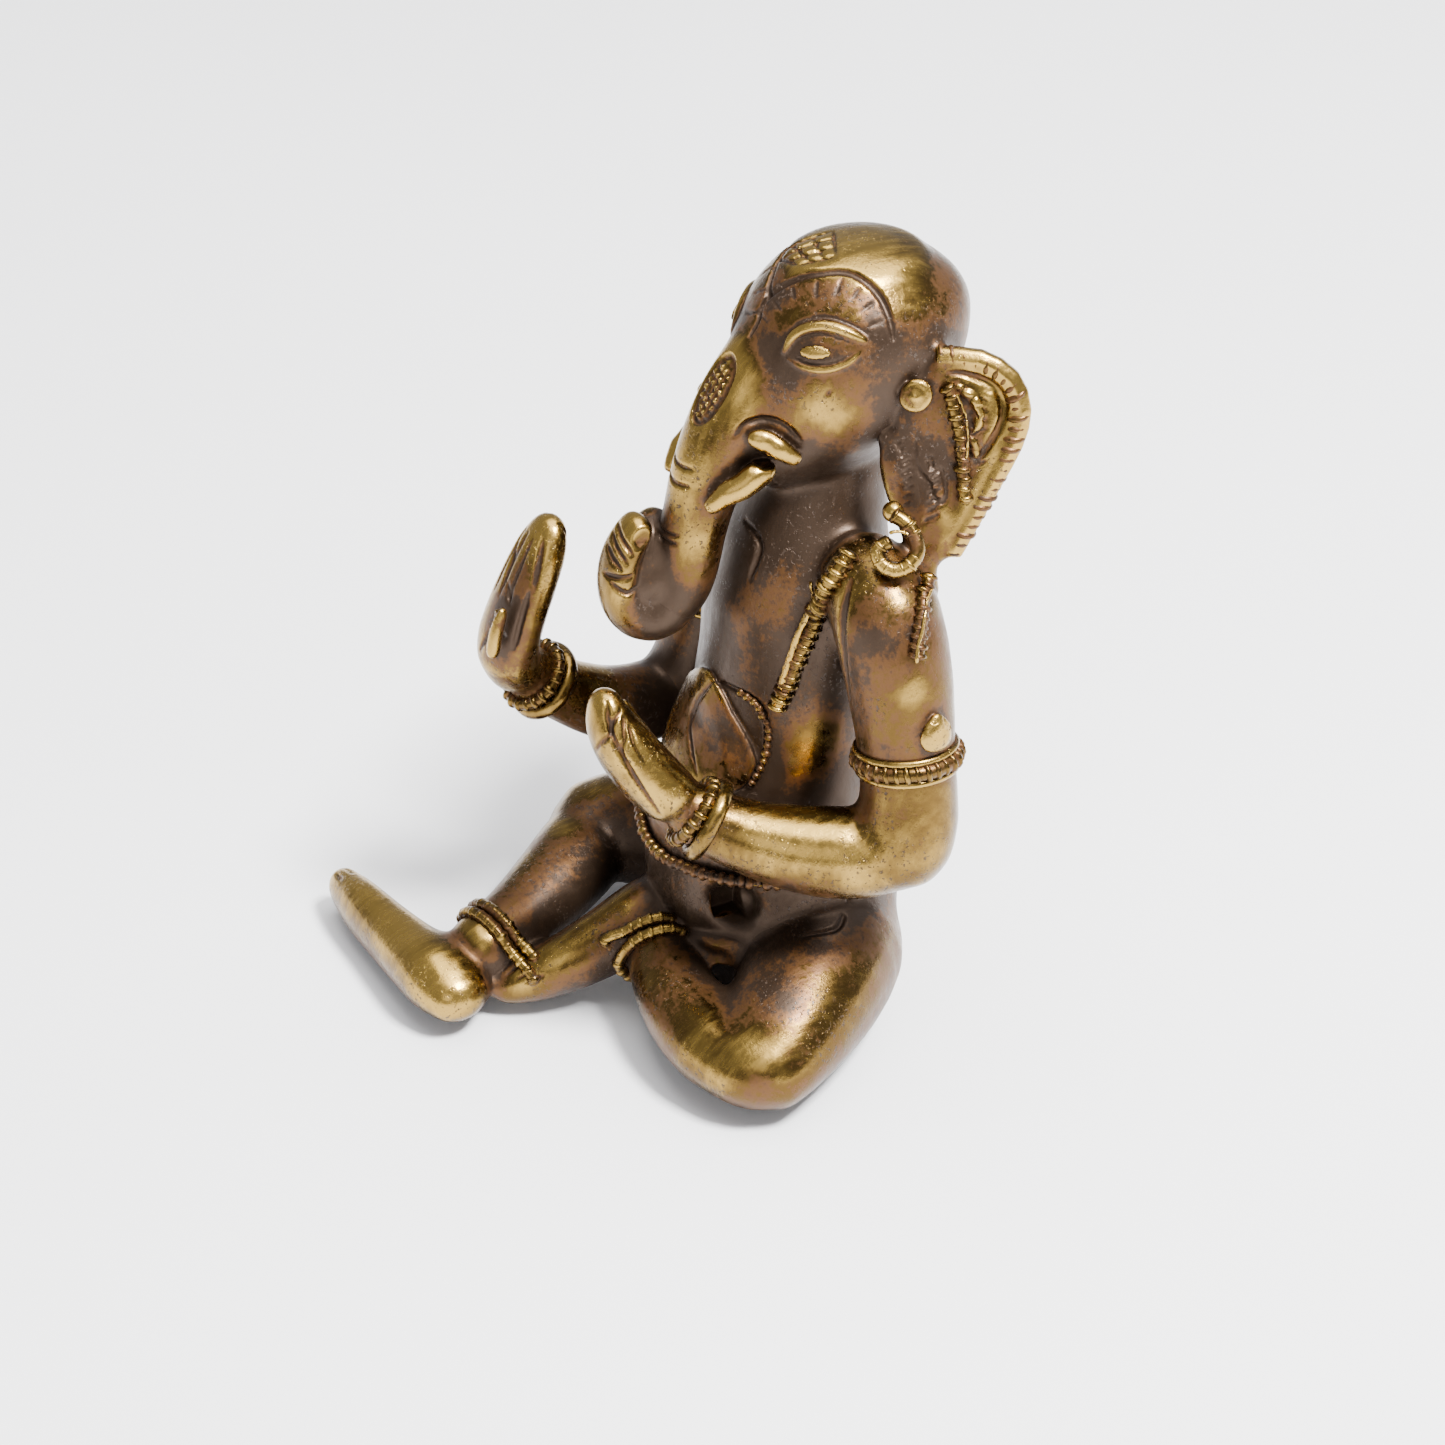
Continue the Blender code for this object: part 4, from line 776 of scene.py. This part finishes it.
def strand_tree():
    """Geometry Nodes: ribs strung on a round core along the curve that comes in."""
    tree = bpy.data.node_groups.new("ribbed_strand", "GeometryNodeTree")
    face = tree.interface
    face.new_socket("Line", in_out="INPUT", socket_type="NodeSocketGeometry")
    sockets = {}
    for name, kind, value in (("Radius", "NodeSocketFloat", 0.001), ("Core share", "NodeSocketFloat", 0.7),
                              ("Spacing", "NodeSocketFloat", 0.001), ("Rib length", "NodeSocketFloat", 0.6),
                              ("Lean", "NodeSocketFloat", 0.0), ("Seed", "NodeSocketInt", 1),
                              ("Material", "NodeSocketMaterial", None)):
        made = face.new_socket(name, in_out="INPUT", socket_type=kind)
        if value is not None:
            made.default_value = value
        sockets[name] = made.identifier
    face.new_socket("Geometry", in_out="OUTPUT", socket_type="NodeSocketGeometry")

    def add(kind, **inputs):
        node = tree.nodes.new(kind)
        for name, value in inputs.items():
            target = node.inputs[name.replace("_", " ")]
            if isinstance(value, bpy.types.NodeSocket):
                tree.links.new(value, target)
            else:
                target.default_value = value
        return node

    def times(one, other):
        node = tree.nodes.new("ShaderNodeMath")
        node.operation = "MULTIPLY"
        for target, value in zip(node.inputs, (one, other)):
            if isinstance(value, bpy.types.NodeSocket):
                tree.links.new(value, target)
            else:
                target.default_value = value
        return node.outputs[0]

    given = tree.nodes.new("NodeGroupInput").outputs
    line = add("GeometryNodeMeshToCurve", Mesh=given["Line"]).outputs["Curve"]
    circle = add("GeometryNodeCurvePrimitiveCircle", Resolution=14,
                 Radius=times(given["Radius"], given["Core share"]))
    core = add("GeometryNodeCurveToMesh", Curve=line, Profile_Curve=circle.outputs["Curve"], Fill_Caps=True)
    spaced = tree.nodes.new("GeometryNodeResampleCurve")
    spaced.mode = "LENGTH"
    tree.links.new(line, spaced.inputs["Curve"])
    tree.links.new(given["Spacing"], spaced.inputs["Length"])
    tangent = tree.nodes.new("GeometryNodeInputTangent")
    turned = add("FunctionNodeAlignRotationToVector", Vector=tangent.outputs[0])
    turned.axis = "Z"
    lean = tree.nodes.new("FunctionNodeRotateRotation")
    lean.rotation_space = "LOCAL"
    tilt = tree.nodes.new("ShaderNodeCombineXYZ")
    tree.links.new(given["Lean"], tilt.inputs[0])
    euler = tree.nodes.new("FunctionNodeEulerToRotation")
    tree.links.new(tilt.outputs[0], euler.inputs[0])
    tree.links.new(turned.outputs[0], lean.inputs[0])
    tree.links.new(euler.outputs[0], lean.inputs[1])
    rib = add("GeometryNodeMeshUVSphere", Segments=12, Rings=8, Radius=1.0)
    shape = tree.nodes.new("ShaderNodeCombineXYZ")
    tree.links.new(given["Radius"], shape.inputs[0])
    tree.links.new(given["Radius"], shape.inputs[1])
    tree.links.new(times(given["Spacing"], given["Rib length"]), shape.inputs[2])
    uneven = tree.nodes.new("FunctionNodeRandomValue")
    uneven.data_type = "FLOAT"
    uneven.inputs[2].default_value = 0.86
    uneven.inputs[3].default_value = 1.08
    tree.links.new(given["Seed"], uneven.inputs["Seed"])
    scale = tree.nodes.new("ShaderNodeVectorMath")
    scale.operation = "SCALE"
    tree.links.new(shape.outputs[0], scale.inputs[0])
    tree.links.new(uneven.outputs[1], scale.inputs["Scale"])
    ribs = add("GeometryNodeInstanceOnPoints", Points=spaced.outputs["Curve"], Instance=rib.outputs["Mesh"],
               Rotation=lean.outputs[0], Scale=scale.outputs[0])
    joined = tree.nodes.new("GeometryNodeJoinGeometry")
    tree.links.new(ribs.outputs[0], joined.inputs[0])
    tree.links.new(core.outputs[0], joined.inputs[0])
    real = add("GeometryNodeRealizeInstances", Geometry=joined.outputs[0])
    smooth = add("GeometryNodeSetShadeSmooth", Geometry=real.outputs[0])
    painted = add("GeometryNodeSetMaterial", Geometry=smooth.outputs[0], Material=given["Material"])
    out = tree.nodes.new("NodeGroupOutput")
    tree.links.new(painted.outputs[0], out.inputs[0])
    return tree, sockets


ribbed, ribbed_inputs = strand_tree()
SPINE_SPACING = 1.5


def spine(node):
    """Centre line of a packed strand, from one end to the other."""
    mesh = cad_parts[node].data
    corners = np.round(np.array([v.co for v in mesh.vertices]) * 1000, 3)
    points, index = np.unique(corners, axis=0, return_inverse=True)
    links = [set() for _ in points]
    for edge in mesh.edges:
        a, b = (int(index.reshape(-1)[v]) for v in edge.vertices)
        links[a].add(b)
        links[b].add(a)

    def walked(start):
        lengths = np.full(len(points), 1e9)
        lengths[start] = 0.0
        todo = [(0.0, start)]
        while todo:
            length, here = heapq.heappop(todo)
            for there in links[here]:
                further = length + float(np.linalg.norm(points[there] - points[here]))
                if further < lengths[there] - 1e-6:
                    lengths[there] = further
                    heapq.heappush(todo, (further, there))
        return lengths

    lengths = walked(int(np.argmax(walked(0))))
    count = max(4, int(lengths.max() / SPINE_SPACING))
    order = np.argsort(lengths)
    line = np.array([points[group].mean(0) for group in np.array_split(order, count)])
    for _ in range(4):
        line[1:-1] = 0.5 * line[1:-1] + 0.25 * (line[:-2] + line[2:])
    return line


def strand(node, slot, line, material, radius, spacing, core=0.72, rib=0.55, lean=0.0, closed=False, seed=1):
    """Makes a node's strand or ring along a line of points."""
    path = bpy.data.meshes.new(node + "_line")
    edges = [(k, k + 1) for k in range(len(line) - 1)] + ([(len(line) - 1, 0)] if closed else [])
    path.from_pydata((np.array(line) / 1000).tolist(), edges, [])
    path.materials.append(material)
    holder = bpy.data.objects.new(node + "_line", path)
    bpy.context.scene.collection.objects.link(holder)
    modifier = holder.modifiers.new("strand", "NODES")
    modifier.node_group = ribbed
    for name, value in (("Radius", radius / 1000), ("Core share", core), ("Spacing", spacing / 1000),
                        ("Rib length", rib), ("Lean", lean), ("Seed", seed), ("Material", material)):
        modifier[ribbed_inputs[name]] = value
    graph = bpy.context.evaluated_depsgraph_get()
    graph.update()
    mesh = bpy.data.meshes.new_from_object(holder.evaluated_get(graph))
    bpy.data.objects.remove(holder)
    bpy.data.meshes.remove(path)
    mesh.name = node + "_trim"
    points = np.empty(len(mesh.vertices) * 3, np.float32)
    mesh.vertices.foreach_get("co", points)
    height = sampled(skin, points.reshape(-1, 3) * 1000, base)
    worn = np.clip(0.38 + 0.75 * height / radius, 0, 1.2).astype(np.float32)
    mesh.attributes.new("worn", "FLOAT", "POINT").data.foreach_set("value", worn)
    piece = bpy.data.objects.new(node + "_trim", mesh)
    bpy.context.scene.collection.objects.link(piece)
    keep(piece, slot, node)


RING_POINTS = 56


def ring_round(node, shift=0.0, lift=0.0):
    """A closed line round a limb, where a packed band stands, on the limb's own skin."""
    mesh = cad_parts[node].data
    points = np.array([v.co for v in mesh.vertices]) * 1000
    centre = points.mean(0)
    _, _, axes = np.linalg.svd(points - centre, full_matrices=False)
    u, v, along_limb = axes
    centre = centre + along_limb * shift
    line = []
    for k in range(RING_POINTS):
        a = 2 * math.pi * k / RING_POINTS
        ray = u * math.cos(a) + v * math.sin(a)
        reach = np.arange(1.5, 9.0, 0.1)
        heights = sampled(skin, centre + reach[:, None] * ray, base)
        outside = np.nonzero(heights > lift)[0]
        line.append(centre + ray * (reach[outside[0]] if len(outside) else 5.0))
    line = np.array(line)
    for _ in range(3):
        line = 0.5 * line + 0.25 * (np.roll(line, 1, 0) + np.roll(line, -1, 0))
    return line


trim_brass = aged_and_lit_brass("trim_brass", age_and_shade=0.0)
dark_trim_brass = aged_and_lit_brass("dark_trim_brass", age_and_shade=0.25)
THREAD = [(14.6, 1.9, 30.0), (15.0, 0.3, 28.0), (13.5, -0.7, 24.3), (11.6, -0.9, 19.8), (10.8, -2.2, 15.9),
          (10.0, -3.2, 11.8), (9.3, -4.2, 8.2)]
strand("sacred_thread", "brass", on_skin(smooth_line(from_middle("torso", THREAD)), 0.25), trim_brass, 1.35,
       1.15, core=0.7, rib=0.46, lean=0.15, seed=3)
SHOULDER_LOCK = [(0.6, 3.6, 18.6), (2.0, 2.0, 16.2), (3.8, 0.7, 13.9), (5.0, -0.2, 11.2)]
EAR_RIDGE = [(-0.4, 0.1, 8.8), (0.4, 0.3, 6.4), (1.3, 0.6, 3.8), (2.1, 0.6, 0.9), (2.6, 0.5, -1.8),
             (3.1, 0.6, -4.0)]
for side_name, side in (("left", 1), ("right", -1)):
    strand("shoulder_lock_" + side_name, "brass",
           on_skin(smooth_line(from_middle("upper_arm_" + side_name, SHOULDER_LOCK, side)), 0.25), trim_brass,
           1.1, 1.05, core=0.7, rib=0.46, lean=0.15, seed=4)
    strand("ear_ridge_" + side_name, "brass",
           on_skin(smooth_line(from_middle("ear_" + side_name, EAR_RIDGE, side)), 0.2), trim_brass,
           1.05, 1.2, core=0.7, rib=0.46, lean=0.15, seed=6)
strand("waist_cord", "dark_brass", on_skin(smooth_line(spine("waist_cord")), 0.2), dark_trim_brass, 0.85, 1.2,
       core=0.65, rib=0.52, seed=5)
LEAF_BORDER = [(5.1, 3.3, 7.0), (7.4, 4.3, 6.1), (8.7, 4.9, 3.7), (9.1, 4.9, 1.0), (9.2, 3.8, -1.5),
               (9.1, 2.8, -3.3)]
strand("belly_beads", "brass", on_skin(smooth_line(from_middle("belly_leaf", LEAF_BORDER)), 0.1),
       dark_trim_brass, 0.6, 1.0, core=0.6, rib=0.5, seed=7)
SPIRAL = [(-2.0, 0.4, 3.1), (-1.1, 1.2, 2.5), (0.1, 1.7, 1.3), (1.1, 1.6, -0.2), (1.4, 0.4, -1.5),
          (0.9, -1.1, -2.1), (-0.2, -2.2, -1.5), (-1.2, -2.2, -0.2), (-0.9, -1.0, 0.6)]
for side_name, side in (("left", 1), ("right", -1)):
    strand("ear_rim_" + side_name, "brass", smooth_line(spine("ear_rim_" + side_name)), trim_brass,
           1.4, 1.25, core=0.7, rib=0.48, lean=0.3, seed=8)
    strand("earring_" + side_name, "brass", smooth_line(from_middle("earring_" + side_name, SPIRAL, side)),
           trim_brass, 1.05, 0.9, core=0.85, rib=0.5, seed=9)
    strand("armlet_" + side_name, "brass", ring_round("armlet_" + side_name), trim_brass,
           1.3, 1.15, core=0.75, rib=0.46, lean=0.15, closed=True, seed=11)
    for shift in (-1.3, 1.3):
        strand("armlet_" + side_name, "brass", ring_round("armlet_" + side_name, shift, lift=0.1),
               trim_brass, 0.42, 1.5, core=1.1, rib=0.3, closed=True, seed=12)
    strand("bracelet_inner_" + side_name, "brass", ring_round("bracelet_inner_" + side_name, lift=0.2),
           trim_brass, 0.95, 2.6, core=1.12, rib=0.3, closed=True, seed=13)
    strand("bracelet_outer_" + side_name, "brass", ring_round("bracelet_outer_" + side_name, lift=0.2),
           trim_brass, 1.0, 1.25, core=0.72, rib=0.42, closed=True, seed=14)
    for shift in (-0.8, 0.8):
        strand("anklet_" + side_name, "brass", ring_round("anklet_" + side_name, shift, lift=0.2),
               trim_brass, 0.85, 1.3, core=0.85, rib=0.5, closed=True, seed=15)

# ---------------------------------------------------------------------------------------------
# Floor, light and camera, in metres. A plain pale floor under a smaller window light and a broad
# soft one from above.
floor_mesh = bpy.data.meshes.new("floor")
floor_mesh.from_pydata([(-4, -4, 0), (4, -4, 0), (4, 4, 0), (-4, 4, 0)], [], [(0, 1, 2, 3)])
floor = bpy.data.objects.new("floor", floor_mesh)
bpy.context.scene.collection.objects.link(floor)
paper = Shader("paper")
tint = paper.mix(paper.noise(9, 3), (0.80, 0.795, 0.80), (0.86, 0.86, 0.868))
floor_mesh.materials.append(paper.finish(Base_Color=tint, Roughness=0.75 + 0.1 * paper.noise(40, 2)))

AZIMUTH, ELEVATION, DISTANCE = math.radians(62), math.radians(35), 0.450
back = Vector((math.sin(AZIMUTH) * math.cos(ELEVATION), -math.cos(AZIMUTH) * math.cos(ELEVATION),
               math.sin(ELEVATION)))
right = Vector((math.cos(AZIMUTH), math.sin(AZIMUTH), 0.0))
ahead = Vector((back.x, back.y, 0.0)).normalized()
aim = Vector((0.0069, 0.0018, 0.042))
camera_data = bpy.data.cameras.new("camera")
camera_data.lens = 95.29
camera_data.sensor_width = 36.0
camera_data.clip_start = 0.01
camera = bpy.data.objects.new("camera", camera_data)
camera.location = aim + back * DISTANCE
camera.rotation_euler = back.to_track_quat("Z", "Y").to_euler()
bpy.context.scene.collection.objects.link(camera)
bpy.context.scene.camera = camera

for name, place, width, power in (("window", right * 0.30 + ahead * 0.22 + Vector((0, 0, 0.72)), 0.17, 25.0),
                                  ("ceiling", right * 0.20 - ahead * 0.05 + Vector((0, 0, 1.10)), 1.1, 22.0),
                                  ("front_fill", ahead * 0.9 + right * -0.2 + Vector((0, 0, 0.5)), 0.5, 1.5)):
    data = bpy.data.lights.new(name, "AREA")
    data.size = width
    data.energy = power
    light = bpy.data.objects.new(name, data)
    light.location = place
    light.rotation_euler = place.to_track_quat("Z", "Y").to_euler()
    bpy.context.scene.collection.objects.link(light)
world = bpy.data.worlds.new("room")
world.use_nodes = True
world.node_tree.nodes["Background"].inputs["Color"].default_value = (0.93, 0.95, 1.0, 1.0)
world.node_tree.nodes["Background"].inputs["Strength"].default_value = 0.65
bpy.context.scene.world = world
